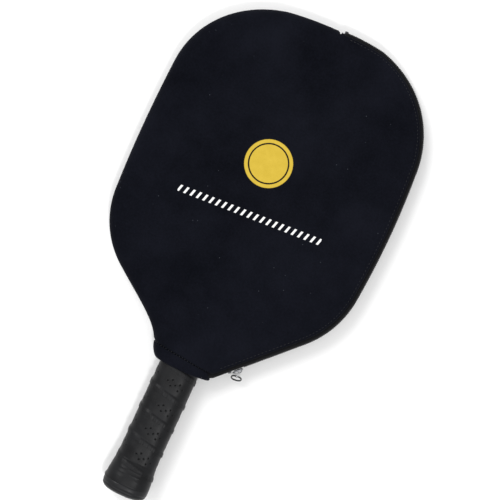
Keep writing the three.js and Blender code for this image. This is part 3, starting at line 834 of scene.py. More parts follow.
def place_panel(side, plan, up, roll):
    """Points of a panel, the last stretch at the neck seam turned inwards by the roll."""
    x, y = plan[..., 0], plan[..., 1]
    z = MID_Z + side * up
    from_seam = (x - THROAT_LEFT[0]) * SEAM_UP[0] + (y - THROAT_LEFT[1]) * SEAM_UP[1]
    at_neck = np.abs(x + 2) < 34
    turn = roll * (1 - smooth(from_seam, 0, 1.7)) * at_neck
    length = np.hypot(x - NECK_CENTRE_X, z - MID_Z) + 1e-6
    points = np.stack([
        x - turn * (x - NECK_CENTRE_X) / length,
        y + 0.3 * (1 - smooth(from_seam, 0, 3)) * at_neck,
        z - turn * (z - MID_Z) / length,
    ], -1)
    if side < 0:
        points[..., 2] = np.maximum(points[..., 2], floor_z(points[..., 1]) + 0.1)
    return points


SEAM_ROLL = 0.9
OUTER, INNER, CUT = range(3)  # a panel's materials


def cover_panel(name, side, outer_material):
    """One closed neoprene panel: outer face, turned edges, lining."""
    columns = panel_columns()
    cols = len(columns)
    out_plan, out_up = strip_points(columns, SEWN_OUT, ZIP_OUT)
    in_plan, in_up = strip_points(columns, SEWN_IN, ZIP_IN)
    in_plan[-1] = out_plan[-1]
    fill_plan, source, triangles = fill_middle(out_plan[-1])

    fill_up = np.full(len(fill_plan), TOP_UP)
    outer = place_panel(side, out_plan, raise_outer(side, out_plan, out_up), SEAM_ROLL)
    inner = place_panel(side, in_plan, raise_inner(in_plan, in_up), 0.0)
    outer_fill = place_panel(side, fill_plan, raise_outer(side, fill_plan, fill_up), SEAM_ROLL)
    inner_fill = place_panel(side, fill_plan, raise_inner(fill_plan, fill_up - THICK), 0.0)

    count = ROWS * cols
    faces = grid_faces(ROWS, cols)
    kinds = [OUTER] * len(faces)
    inner_faces = [tuple(i + count for i in reversed(f)) for f in faces]
    faces += inner_faces
    kinds += [INNER] * len(inner_faces)
    faces += [(j, j + count, j + 1 + count, j + 1) for j in range(cols - 1)]
    kinds += [CUT] * (cols - 1)

    # The fill shares the ring's points and adds its own after both swept faces.
    own = [v for v, original in enumerate(source) if not 0 <= original < cols]
    index_out = {v: 2 * count + k for k, v in enumerate(own)}
    index_in = {v: 2 * count + len(own) + k for k, v in enumerate(own)}
    for v, original in enumerate(source):
        if 0 <= original < cols:
            index_out[v] = (ROWS - 1) * cols + original
            index_in[v] = index_out[v] + count
    for a, b, c in triangles:
        faces.append((index_out[a], index_out[b], index_out[c]))
        faces.append((index_in[c], index_in[b], index_in[a]))
        kinds += [OUTER, INNER]

    # The edge at the neck: from the left rows, over the seam points, to the right rows.
    by_source = {original: v for v, original in enumerate(source) if original >= 0}
    chain = [(i * cols, count + i * cols) for i in range(ROWS)]
    for i in reversed(range(SEAM_COUNT - 1)):
        v = by_source[cols + i]
        chain.append((index_out[v], index_in[v]))
    chain += [(i * cols + cols - 1, count + i * cols + cols - 1) for i in reversed(range(ROWS))]
    for (a, b), (c, d) in zip(chain, chain[1:]):
        faces.append((a, b, d, c))
        kinds.append(CUT)
    points = np.vstack([
        outer.reshape(-1, 3), inner.reshape(-1, 3), outer_fill[own], inner_fill[own],
    ])
    return new_mesh(name, points, faces, (outer_material, LINING, CUT_FOAM), kinds)


front_cover = cover_panel("front_cover", 1, JERSEY)
finish_piece(front_cover, "fold", ("front_panel", "front_flap"))
back_cover = cover_panel("back_cover", -1, PLAIN_JERSEY)
finish_piece(back_cover, "root", ("back_panel",))

# ------------------------------------------------------------------ neck cuff
CUFF_END_Y = -151.6
CUFF_END_HALF_WIDTH = 18.9
CUFF_END_HALF_HEIGHT = 15.6
CUFF_ROWS = [
    # (share of the way from the open end to the seam, depth in from the outer face)
    (1.07, 1.9), (1.0, 1.7), (1.0, 0.95), (0.985, 0.55), (0.96, 0.25), (0.93, 0.1), (0.87, 0),
    (0.84, 0.16), (0.81, -0.03), (0.76, -0.1), (0.68, -0.15), (0.58, -0.2), (0.48, -0.2),
    (0.38, -0.15), (0.28, -0.05), (0.19, 0.05), (0.11, 0.2), (0.05, 0.45), (0.01, 0.9),
    (0.0, 1.5), (0.04, 2.1), (0.12, 2.4), (0.3, 2.4), (0.6, 2.4), (1.07, 2.4),
]


def cuff_points():
    """Rows of points round the neck, fuller on the zipped side near the open end."""
    turn = np.linspace(0, 2 * math.pi, 96, endpoint=False)
    c, s = np.cos(turn), np.sin(turn)
    rows = []
    for share, wall in CUFF_ROWS:
        wider = (NECK_HALF_WIDTH - CUFF_END_HALF_WIDTH) * min(share, 1) ** 0.42
        higher = (NECK_HALF_HEIGHT - CUFF_END_HALF_HEIGHT) * min(share, 1) ** 0.6
        x = NECK_CENTRE_X * share + (CUFF_END_HALF_WIDTH + wider - wall) * squared(c)
        x = x + 4.6 * max(1 - share, 0) ** 1.4 * np.clip(c, 0, 1) ** 4
        z = MID_Z + (CUFF_END_HALF_HEIGHT + higher - wall) * squared(s)
        y = CUFF_END_Y + (SEAM_Y - 0.3 - CUFF_END_Y) * share + SEAM_SKEW * share * x
        y = y + 0.25 * (1 - share) * np.sin(3 * turn + 0.6)
        z = np.maximum(z, floor_z(y) + 0.1)
        rows.append(np.stack([x, y, z], -1))
    return np.array(rows)


cuff = cuff_points()
neck = new_mesh(
    "neck_band", cuff.reshape(-1, 3),
    grid_faces(len(cuff), cuff.shape[1], close_cols=True, close_rows=True),
    (PLAIN_JERSEY,),
)
finish_piece(neck, "root", ("neck_cuff",))

# ------------------------------------------------------------------ zip
TAPE_LINE = [
    (2.7, 0.35), (2.65, 1.5), (1.9, 2.6), (1.3, 3.7), (1.15, 5.0), (1.5, 6.5),
    (2.4, 7.9), (3.7, 8.6), (5.5, 8.72), (8.5, 8.72), (12.0, 8.72),
]
TAPE_THICK = 0.42


def zip_place(s, inwards, up):
    """A point near the zip: distance along it, inwards from its line, up from its plane."""
    s = np.asarray(s, float)
    point, tangent = ZIP.at(s), ZIP.tangent(s, 2.5)
    outward = np.stack([tangent[..., 1], -tangent[..., 0]], -1)
    plan = point - outward * np.asarray(inwards, float)[..., None]
    return np.concatenate([plan, (MID_Z + np.asarray(up, float) + 0 * s)[..., None]], -1)


def zip_tape(name, side, body, replaced):
    """One half of the zip's tape, from under the cuff to the tip, tucked in at both ends."""
    line = np.array(TAPE_LINE)
    line = np.stack([np.interp(np.linspace(0, 10, 31), range(11), line[:, k]) for k in (0, 1)], -1)
    line[1:-1] = (line[:-2] + 2 * line[1:-1] + line[2:]) / 4
    ahead = np.gradient(line, axis=0)
    ahead /= np.linalg.norm(ahead, axis=1, keepdims=True)
    normal = np.stack([-ahead[:, 1], ahead[:, 0]], -1)
    loop = np.vstack([line + normal * TAPE_THICK / 2, (line - normal * TAPE_THICK / 2)[::-1]])
    stations = np.concatenate([
        [-3.6, -3.3, -2.8, -2.0, -1.0, 0.2, 1.4], np.arange(2.8, ZIP.length - 5, 1.8),
        ZIP.length - np.array([4.0, 3.0, 2.2, 1.5, 0.9, 0.4]),
    ])
    rows = []
    for s in stations:
        tuck = 1.3 * (1 - float(smooth(s, -3.9, 1.5)))
        tuck += 2.4 * float(smooth(s, ZIP.length - 4.5, ZIP.length))
        d, up = loop[:, 0] + tuck, side * loop[:, 1] * (1 - 0.05 * tuck)
        rows.append(zip_place(np.full(len(loop), s), d, up))
    finish_piece(sharp_edges(bar(name, rows, TAPE), 60), body, replaced)


COIL_PITCH = 1.5
COIL_FROM = 25.8
COIL_TO = ZIP.length - 8.5
COIL_STEPS = 12  # points in one turn
COIL_WIRE = 0.31


def coil(name, side, body, replaced):
    """A row of coil teeth: one thread of nylon wound into flattened loops."""
    turns = (COIL_TO - COIL_FROM) / COIL_PITCH
    phase = np.linspace(0, turns * 2 * math.pi, int(turns * COIL_STEPS))
    s = COIL_FROM + COIL_PITCH * (phase / (2 * math.pi) + (0.5 if side < 0 else 0))
    reach = np.cos(phase)
    up = side * (1.15 - 1.42 * np.sign(reach) * np.abs(reach) ** 0.8)
    inwards = 1.1 + 0.86 * np.sin(phase)
    points, faces = tube(zip_place(s, inwards, up), COIL_WIRE, 6)
    finish_piece(new_mesh(name, points, faces, (NYLON,)), body, replaced)


zip_tape("front_zipper_tape", 1, "fold", ("front_zip_tape", "front_tape_end"))
zip_tape("back_zipper_tape", -1, "root", ("back_zip_tape",))
coil("front_coil", 1, "fold", ("front_zip_teeth",))
coil("back_coil", -1, "root", ("back_zip_teeth",))


def zip_block(name, s0, s1, side, replaced, low, high, depth):
    """A small pressed metal stop round the tape's edge."""
    inwards = np.array([-0.35, -0.35, depth, depth])
    up = np.array([low, high, high, low]) * side
    rows = [zip_place(np.full(4, s), inwards, up) for s in np.linspace(s0, s1, 4)]
    finish_piece(bevel(bar(name, rows, STOP_METAL), 0.35), "root", (replaced,))


zip_block("front_stop", 12.9, 15.3, 1, "front_top_stop", 0.65, 2.5, 2.3)
zip_block("back_stop", 12.9, 15.3, -1, "back_top_stop", 0.65, 2.5, 2.3)
zip_block("bottom_stop", ZIP.length - 5.0, ZIP.length - 2.0, 1, "zip_end_stop", -2.6, 2.6, 2.2)

# ------------------------------------------------------------------ stitches


def stitches(name, row, body):
    """Short threads that dip into the cloth at their ends, from (start, end, outwards)."""
    t = np.linspace(0, 1, 7)[:, None]
    arch = np.sin(math.pi * t)
    radius = 0.15 + 0.13 * arch[:, 0] ** 0.6
    parts = [
        tube(a * (1 - t) + b * t + out * (0.24 * arch - 0.16), radius, 6, up=out)
        for a, b, out in row
    ]
    points, faces = joined(parts)
    finish_piece(new_mesh(name, points, faces, (THREAD,)), body)


ZIP_STITCH_INSET = 6.6
ZIP_STITCH_PITCH = 3.1
ZIP_STITCH_LENGTH = 0.72 * ZIP_STITCH_PITCH


def zip_stitches(name, side, body):
    """The row that holds a panel to the zip's tape."""
    up = side * (float(on_arc(ZIP_STITCH_INSET)) + 0.02)
    row = []
    for s in np.arange(ZIP_AT_SEAM + 4, ZIP.length - 8, ZIP_STITCH_PITCH):
        a = zip_place(s, ZIP_STITCH_INSET, up)
        b = zip_place(s + ZIP_STITCH_LENGTH, ZIP_STITCH_INSET, up)
        along_x, along_y = ZIP.tangent(s)
        row.append((a, b, np.array([along_y * 0.25, -along_x * 0.25, side * 0.97])))
    stitches(name, row, body)


zip_stitches("front_zip_stitching", 1, "fold")
zip_stitches("back_zip_stitching", -1, "root")

GROOVE_HALF_WIDTH = 24.4  # of the floor of the neck seam's groove
GROOVE_HALF_HEIGHT = 16.0
NECK_STITCH_PITCH = 2.4


def neck_stitches():
    """Overlocked stitches that hold the band to the panels, seen in the seam's groove."""
    fine = np.linspace(0, 2 * math.pi, 2000)
    across = GROOVE_HALF_WIDTH * squared(np.cos(fine))
    rise = GROOVE_HALF_HEIGHT * squared(np.sin(fine))
    along = np.concatenate([[0], np.cumsum(np.hypot(np.diff(across), np.diff(rise)))])
    row = []
    for turn in np.interp(np.arange(0, along[-1], NECK_STITCH_PITCH), along, fine):
        c, s = math.cos(turn), math.sin(turn)
        x = NECK_CENTRE_X + GROOVE_HALF_WIDTH * float(squared(c))
        z = MID_Z + GROOVE_HALF_HEIGHT * float(squared(s))
        if z < floor_z(SEAM_Y) + 0.6:
            continue
        y = SEAM_Y + SEAM_SKEW * x
        ends = np.array([x - 0.3, y - 0.7, z]), np.array([x + 0.3, y + 0.8, z])
        row.append((*ends, np.array([c, 0, s])))
    stitches("neck_stitching", row, "root")


neck_stitches()


def seam_stitches():
    """Stitches that show between the two panels along the sewn edge."""
    row = []
    for s in np.arange(5, LEFT.length - 4, 2.6):
        point, tangent = LEFT.at(s), LEFT.tangent(s)
        outward = np.array([-tangent[1], tangent[0], 0])
        base = np.array([*point, MID_Z]) - outward * 0.75
        half = np.array([*tangent * 0.35, 0.75])
        row.append((base - half, base + half, outward))
    stitches("edge_stitching", row, "root")


seam_stitches()


def edge_binding():
    """Folded tape over the seam allowance along the sewn edge, inside the case."""
    near, far, half = 3.5, 4.3, 2.6
    profile = np.array([
        (near, -half), (far - 0.2, -half), (far, -half + 0.5), (far + 0.1, 0), (far, half - 0.5),
        (far - 0.2, half), (near, half), (near + 0.15, 0),
    ])
    rows = []
    for s in np.arange(8, LEFT.length - 8, 2.0):
        point, tangent = LEFT.at(s), LEFT.tangent(s)
        inward = np.array([tangent[1], -tangent[0]])
        pucker = 1 + 0.05 * math.sin(s * 1.9)
        plan = point + inward * profile[:, :1]
        rows.append(np.column_stack([plan, MID_Z + profile[:, 1] * pucker]))
    finish_piece(bar("edge_binding", rows, BINDING), "root", ("seam_binding",))


edge_binding()

# ------------------------------------------------------------------ slider and pull
SLIDER_AT = 20.5  # along the zip line
slider_point, slider_tangent = ZIP.at(SLIDER_AT), ZIP.tangent(SLIDER_AT)
slider_frame = Matrix((
    (-slider_tangent[0], slider_tangent[1], 0, slider_point[0]),
    (-slider_tangent[1], -slider_tangent[0], 0, slider_point[1]),
    (0, 0, 1, MID_Z),
    (0, 0, 0, 1),
))


def placed(points, matrix):
    """Points of a piece's own frame, in the shared one."""
    m = np.array(matrix)
    return np.asarray(points, float) @ m[:3, :3].T + m[:3, 3]


def plate(outline, y0, y1, dome=0.0):
    """A plate in the slider's frame: outline in (along, up), thick from y0 to y1."""
    n = len(outline)
    along, up = np.array(outline).T
    low = np.column_stack([along, np.full(n, y0), up])
    high = np.column_stack([along * (1 - dome), np.full(n, y1), up * (1 - dome)])
    return np.vstack([low, high]), capped_grid(2, n)


NOSE_RADIUS = 1.6
NOSE_SHARE = 0.6875  # half width of the closed end's round, as a share of the plate's


def shield(length, width):
    """Outline of a slider plate: broad at the mouths, narrower at the closed end."""
    half = [(0.2, 0.97), (-length * 0.55, 1), (-length * 0.9, 0.86), (-length, 0.35)]
    points = []
    for a in np.linspace(math.pi / 2, -math.pi / 2, 11):
        x = length - NOSE_RADIUS + NOSE_RADIUS * math.cos(a)
        points.append((x, width * NOSE_SHARE * math.sin(a)))
    points += [(x, -width * share) for x, share in half]
    points.append((-length * 0.86, 0))
    return points + [(x, width * share) for x, share in reversed(half)]


def slider_body():
    """Two plates, the wings that hold the tapes, and the post between the rows of teeth.

    The post and the wings stop short of the middle, which leaves room for the coils.
    """
    parts = [plate(shield(4.6, 3.8), 0.55, 1.3, 0.06), plate(shield(4.4, 3.5), -3.8, -3.1)]
    for side in (-1, 1):
        wing = [
            (-3.9, side * 3.05), (-3.5, side * 3.75), (0.4, side * 3.75), (2.6, side * 3.6),
            (2.8, side * 3.1), (0.2, side * 3.05),
        ]
        parts.append(plate(wing, -0.1, 0.7))
        parts.append(plate(wing, -3.3, -2.7))
    wedge = [(1.2, 0), (2.4, 0.42), (3.6, 0.34), (3.6, -0.34), (2.4, -0.42)]
    parts.append(plate(wedge, -3.3, -2.5))
    parts.append(plate(wedge, 0.12, 0.7))
    points, faces = joined(parts)
    body = new_mesh("slider", placed(points, slider_frame), faces, (GUNMETAL,))
    finish_piece(bevel(body, 0.16, 2), "slider", ("slider_body",))


ARCH_SECTION = [
    # (out from the bridge's middle line, share of its half width)
    (0.26, -0.8), (0.30, 0), (0.26, 0.8), (0.12, 1), (-0.2, 1), (-0.28, 0), (-0.2, -1), (0.12, -1),
]


def slider_arch():
    """Flat bridge that the pull hangs on."""
    t = np.linspace(0, 1, 25)
    x = -3.35 + 6.7 * t
    y = 1.15 + 1.75 * np.clip(np.sin(math.pi * t), 0, 1) ** 0.34
    line = np.column_stack([x, y, 0 * x])
    ahead = np.gradient(line, axis=0)
    ahead /= np.linalg.norm(ahead, axis=1, keepdims=True)
    normal = np.column_stack([-ahead[:, 1], ahead[:, 0], 0 * x])
    half_width = 0.75 + 0.35 * np.abs(2 * t - 1) ** 3
    rows = [
        placed([p + out * a + np.array([0, 0, b * half]) for a, b in ARCH_SECTION], slider_frame)
        for p, out, half in zip(line, normal, half_width)
    ]
    arch = bar("slider_arch", rows, GUNMETAL)
    finish_piece(arch, "slider", ("slider_bridge",))


def turned(frame_before, up, degrees, axis):
    """A frame moved out by this much, then turned."""
    move = Matrix.Translation((0, up, 0))
    return frame_before @ move @ Matrix.Rotation(math.radians(degrees), 4, axis)


LINK_FRAME = turned(slider_frame, 1.95, -38, "Z")
RING_FRAME = turned(LINK_FRAME, 3.4, -58, "X")


def oval(half, low, high, count=28):
    """Outline with round ends between two heights."""
    r = min(half, (high - low) / 2)
    points = []
    for i in range(count):
        a = 2 * math.pi * (i + 0.5) / count
        y = (high - r if math.sin(a) > 0 else low + r) + r * math.sin(a)
        points.append((half * math.cos(a), y))
    return np.array(points)


def pull_link():
    """Pressed oval eye: an outer and an inner outline joined by rounded sides."""
    outer, hole = oval(1.8, -0.3, 5.0), oval(1.05, 0.3, 4.1)
    face = [(0, 0.10), (0.25, 0.38), (0.5, 0.44), (0.75, 0.38), (1, 0.10)]
    rows = []
    for share, thick in face + [(share, -thick) for share, thick in reversed(face)]:
        ring = outer + (hole - outer) * share
        rows.append(np.column_stack([np.full(len(ring), thick), ring[:, 1], ring[:, 0]]))
    faces = grid_faces(len(rows), len(outer), close_cols=True, close_rows=True)
    link = new_mesh("pull_eye", placed(np.vstack(rows), LINK_FRAME), faces, (PULL_METAL,))
    finish_piece(link, "link", ("pull_link",))


RING_HALF_WIDTH = 4.0
RING_HALF_LENGTH = 3.6
RING_WIRE = 0.6
RING_POWER = 0.86  # 1 makes the ring an ellipse, less makes it squarer


def pull_ring():
    """Bent wire ring."""
    turn = np.linspace(0, 2 * math.pi, 56, endpoint=False)
    c, s = (np.sign(v) * np.abs(v) ** RING_POWER for v in (np.cos(turn), np.sin(turn)))
    centres = np.column_stack([RING_HALF_WIDTH * c, RING_HALF_LENGTH * (1 + s), 0 * turn])
    points, faces = tube(centres, RING_WIRE, 12, closed=True)
    ring = new_mesh("pull_loop", placed(points, RING_FRAME), faces, (WIRE,))
    finish_piece(ring, "ring", ("pull_ring",))


slider_body()
slider_arch()
pull_link()
pull_ring()

# ------------------------------------------------------------------ grip and butt
GRIP_PITCH = 20.6
GRIP_TURNS = 7
OVERLAP_AT = -155.0  # an overlap's height at the middle of the front
GRIP_TOP = -134.9
WRAP_END = -251.4
AROUND = 228  # points round the handle
SOFTEN = 43  # of those points, how many the rounding of the corners reaches over


def eight_sided(half_width, half_height, chamfer):
    """Rounded eight-sided section as (x, z), from the middle of the underside round by -X."""
    w, h, c = half_width, half_height, chamfer
    corners = np.array([
        (0, -h), (-w + c, -h), (-w, -h + c), (-w, h - c), (-w + c, h),
        (w - c, h), (w, h - c), (w, -h + c), (w - c, -h), (0, -h),
    ], float)
    along = np.concatenate([[0], np.cumsum(np.linalg.norm(np.diff(corners, axis=0), axis=1))])
    at = np.linspace(0, along[-1], AROUND, endpoint=False)
    ring = np.stack([np.interp(at, along, corners[:, k]) for k in (0, 1)], -1)
    kernel = np.hanning(SOFTEN + 2)[1:-1]
    kernel /= kernel.sum()
    half = SOFTEN // 2
    padded = np.vstack([ring[-half:], ring, ring[:half]])
    soft = np.stack([np.convolve(padded[:, k], kernel, "valid") for k in (0, 1)], -1)
    return soft, along[-1]


FLARE = np.array([
    # height, half width, half height, chamfer of the handle's outer surface
    (-130.0, 15.8, 12.7, 6.6), (-148.0, 15.8, 12.7, 6.6), (-154.0, 16.4, 12.9, 6.6),
    (-231.6, 16.4, 12.9, 6.6), (-232.6, 16.7, 13.4, 6.8),
    (-234.0, 16.8, 13.8, 7.0), (-239.0, 17.5, 14.7, 7.6), (-245.0, 18.2, 15.8, 8.0),
    (-250.0, 18.5, 16.4, 8.3), (-256.0, 18.6, 16.6, 8.4), (-262.0, 18.4, 16.5, 8.4),
])[::-1]


def handle_size(y):
    """Half width, half height and chamfer of the handle at this height."""
    return [float(np.interp(y, FLARE[:, 0], FLARE[:, k])) for k in (1, 2, 3)]


SECTION_CACHE = {}


def ring_at(y):
    """The handle's section at a height, to a tenth of a millimetre, and its normals."""
    key = round(float(y), 1)
    if key not in SECTION_CACHE:
        ring, _ = eight_sided(*handle_size(key))
        ahead = np.roll(ring, -1, 0) - np.roll(ring, 1, 0)
        normal = np.stack([-ahead[:, 1], ahead[:, 0]], -1)
        normal /= np.linalg.norm(normal, axis=1, keepdims=True)
        middle = ring[len(ring) // 2]
        if normal[len(ring) // 2] @ middle < 0:
            normal = -normal
        SECTION_CACHE[key] = (ring, normal)
    return SECTION_CACHE[key]


def wrap_ring(y, lift):
    """One row of points round the handle, each at its own height and lift."""
    points = np.zeros((AROUND, 3))
    for j in range(AROUND):
        ring, normal = ring_at(y[j])
        p = ring[j] + normal[j] * lift[j]
        points[j] = (p[0], y[j], MID_Z + p[1])
    return points


HOLES = [(0, 0), (-3.5, -2.45), (-3.5, 2.45), (3.5, -2.45), (3.5, 2.45), (-7.0, 0), (7.0, 0)]
HOLE_ROW = 12.0
HOLE_RADIUS = 0.72
HOLE_DEPTH = 0.75
CLUSTERS = 4
CLUSTER_SHIFT = 2.9  # from the middle of the front towards the zip
HOLES_ABOVE = -231.0
RIDGES_AT = (-238.4, -241.6)  # two low folds over the flare at the butt
ROW_STEPS = [0.0, 0.12, 0.35, 0.7, 1.15, 1.7, 2.3, 2.9, 3.4, 3.8, 4.2, 4.6, 5.1, 5.6]


def wrap_height(t):
    """Height of the wrap at a distance above the lower edge of its upper turn."""
    return 0.58 * (1 - smooth(t, 2.8, 4.8)) + 0.10 * np.sin(np.clip((t - 5) / 15, 0, 1) * math.pi)


def wrap_holes(along, girth, t):
    """How deep the punched holes are round a row of the wrap, from 0 to 1."""
    period = girth / CLUSTERS
    place = (along - girth / 2 - CLUSTER_SHIFT + period / 2) % period - period / 2
    deep = np.zeros(len(along))
    for across, up in HOLES:
        away = np.hypot(place - across, t - HOLE_ROW - up)
        deep = np.maximum(deep, 1 - smooth(away, 0.30, HOLE_RADIUS))
    return deep


def grip_wrap():
    """One long tape wound up the handle, each turn over the edge of the last."""
    rows_t = ROW_STEPS + list(np.arange(6.0, GRIP_PITCH - 0.6, 0.42))
    rows_t = np.array(rows_t + [GRIP_PITCH - 0.25, GRIP_PITCH - 0.02])
    per_turn = len(rows_t)
    total = GRIP_TURNS * per_turn
    # On the helix a point half way round, at the middle of the front, is half a pitch
    # below where its row begins.
    first = OVERLAP_AT + GRIP_PITCH / 2 - GRIP_PITCH * 5
    share = np.arange(AROUND) / AROUND
    points = np.zeros((total, AROUND, 3))
    hole = np.zeros((total, AROUND))
    _, girth = eight_sided(*handle_size(-190))
    for row in range(total):
        turn, k = divmod(row, per_turn)
        t = rows_t[k]
        y = first + turn * GRIP_PITCH + t - GRIP_PITCH * share
        lift = np.full(AROUND, wrap_height(t))
        if k == 0:
            lift -= 0.22
        along = share * girth - (turn % 2) * 1.5
        crimp = 0.05 * np.sin(along * 1.3 + turn * 2.1) + 0.04 * np.sin(along * 3.1 + turn)
        lift += crimp * (1 - smooth(t, 2, 6))
        lift += 0.12 * ripple(along, y * 1.5, 14, 21)
        hole[row] = wrap_holes(along, girth, t) * (y > HOLES_ABOVE)
        lift -= HOLE_DEPTH * hole[row]
        ridges = sum(np.exp(-(((y - at) / 0.5) ** 2)) for at in RIDGES_AT)
        lift += 0.22 * ridges * (1 - smooth(np.abs(along - girth / 2), 7, 12))
        lift -= 0.9 * (1 - smooth(y, WRAP_END, WRAP_END + 0.7))
        points[row] = wrap_ring(np.clip(y, WRAP_END, GRIP_TOP), lift)

    faces = []
    for i in range(total - 1):
        last = i * AROUND + AROUND - 1
        faces += [(a, a + 1, a + 1 + AROUND, a + AROUND) for a in range(i * AROUND, last)]
        # The row goes on where the row one turn below begins.
        if i >= per_turn:
            b = (i - per_turn) * AROUND
            faces.append((last, b, b + AROUND, last + AROUND))
    flat = points.reshape(-1, 3)
    at_end = (flat[:, 1] > GRIP_TOP - 0.01) | (flat[:, 1] < WRAP_END + 0.01)
    faces = [f for f in faces if not at_end[list(f)].all()]

    mesh = bpy.data.meshes.new("grip_tape")
    mesh.from_pydata([tuple(p) for p in flat * MM], [], faces)
    mesh.materials.append(GRIP)
    # The hole mask sinks the holes here, and the grip's material uses it to darken them with painted
    # shade.
    attribute = mesh.attributes.new("hole", "FLOAT", "POINT")
    attribute.data.foreach_set("value", hole.ravel().astype(np.float32))
    obj = added("grip_tape", mesh)
    drop_loose(obj)
    tidy_mesh(obj, 2e-6)
    sharp_edges(obj, 55)
    finish_piece(obj, "root", ("grip_wrap",))


grip_wrap()


BUTT_STATIONS = [
    (-232, 1.2), (-250, 0.9), (-250.4, 0.3), (-250.9, 0.05), (-251.8, -0.05), (-253.5, -0.1),
    (-254.4, 0.1), (-254.7, 0.45), (-255.0, 0.5), (-255.4, 0.3), (-256.3, 0.5), (-257.2, 1.1),
    (-258.2, 2.2), (-259.0, 3.7), (-259.6, 5.8), (-259.9, 8.0), (-260.0, 10.0), (-259.7, 10.6),
    (-259.5, 12.0),
]
BAND_STATIONS = [
    (-134.6, 1.4), (-134.6, 0.2), (-134.3, -0.1), (-133.6, -0.25), (-131.6, -0.3),
    (-129.5, -0.25), (-128.9, -0.05), (-128.6, 0.3), (-128.6, 1.4),
]


def handle_sleeve(name, stations, material, replaced):
    """A closed rubber sleeve or cap through (height, inset) stations."""
    rows = []
    for y, inset in stations:
        ring, normal = ring_at(max(y, FLARE[0, 0]))
        ring = (ring - normal * min(inset, 3.0)) * (1 - max(inset - 3.0, 0) / 14)
        rows.append(np.column_stack([ring[:, 0], np.full(len(ring), y), MID_Z + ring[:, 1]]))
    finish_piece(bar(name, rows, material), "root", (replaced,))


handle_sleeve("butt_end", BUTT_STATIONS, RUBBER, "butt_cap")
handle_sleeve("wrap_band", BAND_STATIONS, BAND, "finishing_band")

# ------------------------------------------------------------------ paddle
BLADE = Path(
    [(14, -128), (26, -127), (51, -109), (71, -94)],
    [(71, -94), (86, -82.7), (99.9, -66.4), (99.3, -38)],
    [(99.3, -38), (101.9, 10), (99.3, 64)],
    [(99.3, 64), (98.4, 94), (76, 126.4), (39, 132.4)],
    [(39, 132.4), (22, 135.4), (0, 135.4)],
)


BLADE_STEP = 2.0
FACE_NEAR = 7.45  # of a face sheet's inner side from the middle plane
FACE_FAR = 7.95


def blade_ring(inset):
    """Outline of the blade, this far in from its edge."""
    s = np.linspace(0, BLADE.length, int(BLADE.length / BLADE_STEP))
    tangent = BLADE.tangent(s, 2.5)
    tangent[-1] = (-1, 0)
    inward = np.stack([-tangent[:, 1], tangent[:, 0]], -1)
    right = BLADE.at(s) + inward * inset
    left = right[:-1][::-1] * np.array([-1, 1])
    return np.vstack([right, left])


def paddle_face(name, side, replaced):
    """Face sheet with a fine chamfer round its outer side."""
    rows = []
    for inset, out in ((1.2, FACE_NEAR), (1.2, FACE_FAR - 0.05), (1.5, FACE_FAR)):
        ring = blade_ring(inset)
        rows.append(np.column_stack([ring, np.full(len(ring), MID_Z + side * out)]))
    face = sharp_edges(bar(name, rows, CARBON), 30)
    finish_piece(face, "root", (replaced,))


paddle_face("front_face_sheet", 1, "paddle_front_face")
paddle_face("back_face_sheet", -1, "paddle_back_face")

# Half of the guard's section, as (in from the blade's edge, up from the middle plane).
GUARD_HALF = [
    (5.6, 8.02), (5.9, 8.2), (5.6, 8.45), (4.8, 8.5), (1.6, 8.5), (0.7, 8.3), (0.05, 7.7),
    (-0.3, 6.6), (-0.45, 3.0),
]


def edge_guard():
    """Moulded strip round the blade's edge, left out across the neck."""
    profile = GUARD_HALF + [(-0.5, 0)] + [(d, -up) for d, up in reversed(GUARD_HALF)]
    profile = np.array(profile + [(1.1, -8.02), (1.0, 0), (1.1, 8.02)])
    right = []
    for s in np.arange(8, BLADE.length, BLADE_STEP):
        point, tangent = BLADE.at(s), BLADE.tangent(s, 2.5)
        plan = point + np.array([-tangent[1], tangent[0]]) * profile[:, :1]
        right.append(np.column_stack([plan, MID_Z + profile[:, 1]]))
    left = [row * np.array([-1, 1, 1]) for row in reversed(right)]
    guard = sharp_edges(bar("blade_guard", right + left, GUARD), 50)
    finish_piece(guard, "root", ("paddle_edge_guard",))


edge_guard()
for node, look in (("paddle_core", CORE), ("handle_front_half", FOAM), ("handle_back_half", FOAM)):
    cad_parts[node].data.materials.clear()
    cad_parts[node].data.materials.append(look)

# ------------------------------------------------------------------ floor, light, camera
slope = math.atan2(FLOOR_RISE, FLOOR_TO_Y - FLOOR_FROM_Y)


FLOOR_REACH = 4.0  # metres


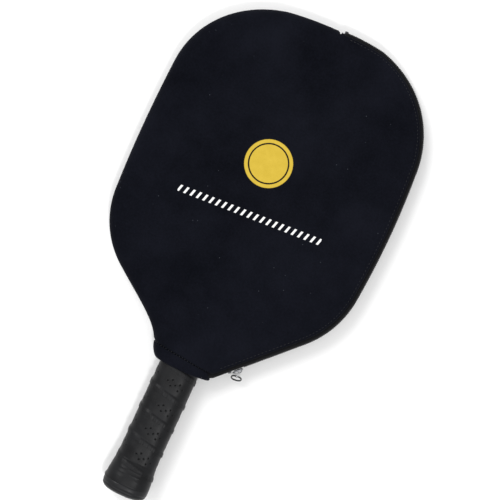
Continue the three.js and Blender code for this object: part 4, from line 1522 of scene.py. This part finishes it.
def studio_floor():
    """Plain pale floor, tilted a little, as the object rests on its butt and its tip."""
    n = Nodes("studio_floor", rest=False)
    tone = n.mix(n.noise(160, 2), (0.80, 0.80, 0.80), (0.82, 0.82, 0.82))
    n.set(color=tone, roughness=0.9, specular=0.1)
    level, rise = float(floor_z(0)) * MM, FLOOR_REACH * math.tan(slope)
    corners = [
        (x * FLOOR_REACH, y * FLOOR_REACH, level + y * rise)
        for x, y in ((-1, -1), (1, -1), (1, 1), (-1, 1))
    ]
    mesh = bpy.data.meshes.new("floor")
    mesh.from_pydata(corners, [], [(0, 1, 2, 3)])
    mesh.materials.append(n.material)
    obj = added("floor", mesh)


studio_floor()


def area_light(name, place, target, size, power):
    """A round soft light at a place in metres, aimed at the target."""
    data = bpy.data.lights.new(name, "AREA")
    data.shape = "DISK"
    data.size = size
    data.energy = power
    obj = added(name, data)
    obj.location = place
    obj.rotation_euler = (Vector(target) - Vector(place)).to_track_quat("-Z", "Y").to_euler()


area_light("key", (-0.9, 0.5, 1.5), (0, -0.05, 0), 0.8, 16.5)
area_light("grip", (0.28, -0.45, 1.2), (-0.02, -0.19, 0), 0.16, 4.6)

world = bpy.data.worlds.new("studio")
bpy.context.scene.world = world
world.use_nodes = True
world.node_tree.nodes["Background"].inputs["Color"].default_value = (1.0, 1.0, 1.0, 1)
world.node_tree.nodes["Background"].inputs["Strength"].default_value = 0.95

# The camera looks straight down: centre and width of the view in millimetres, roll in degrees.
VIEW_CENTRE = (11.6, -44.2)
VIEW_ROLL = 24.7
VIEW_WIDTH = 393.5
LENS = 88.0
camera_data = bpy.data.cameras.new("camera")
camera_data.lens = LENS
camera = added("camera", camera_data)
distance = VIEW_WIDTH * LENS / 36
camera.location = (VIEW_CENTRE[0] * MM, VIEW_CENTRE[1] * MM, (MID_Z + distance) * MM)
camera.rotation_euler = (0, 0, math.radians(VIEW_ROLL))
camera_data.clip_start = 0.05
camera_data.clip_end = 20
bpy.context.scene.camera = camera
bpy.context.scene.view_settings.view_transform = "Standard"

bpy.context.view_layer.update()
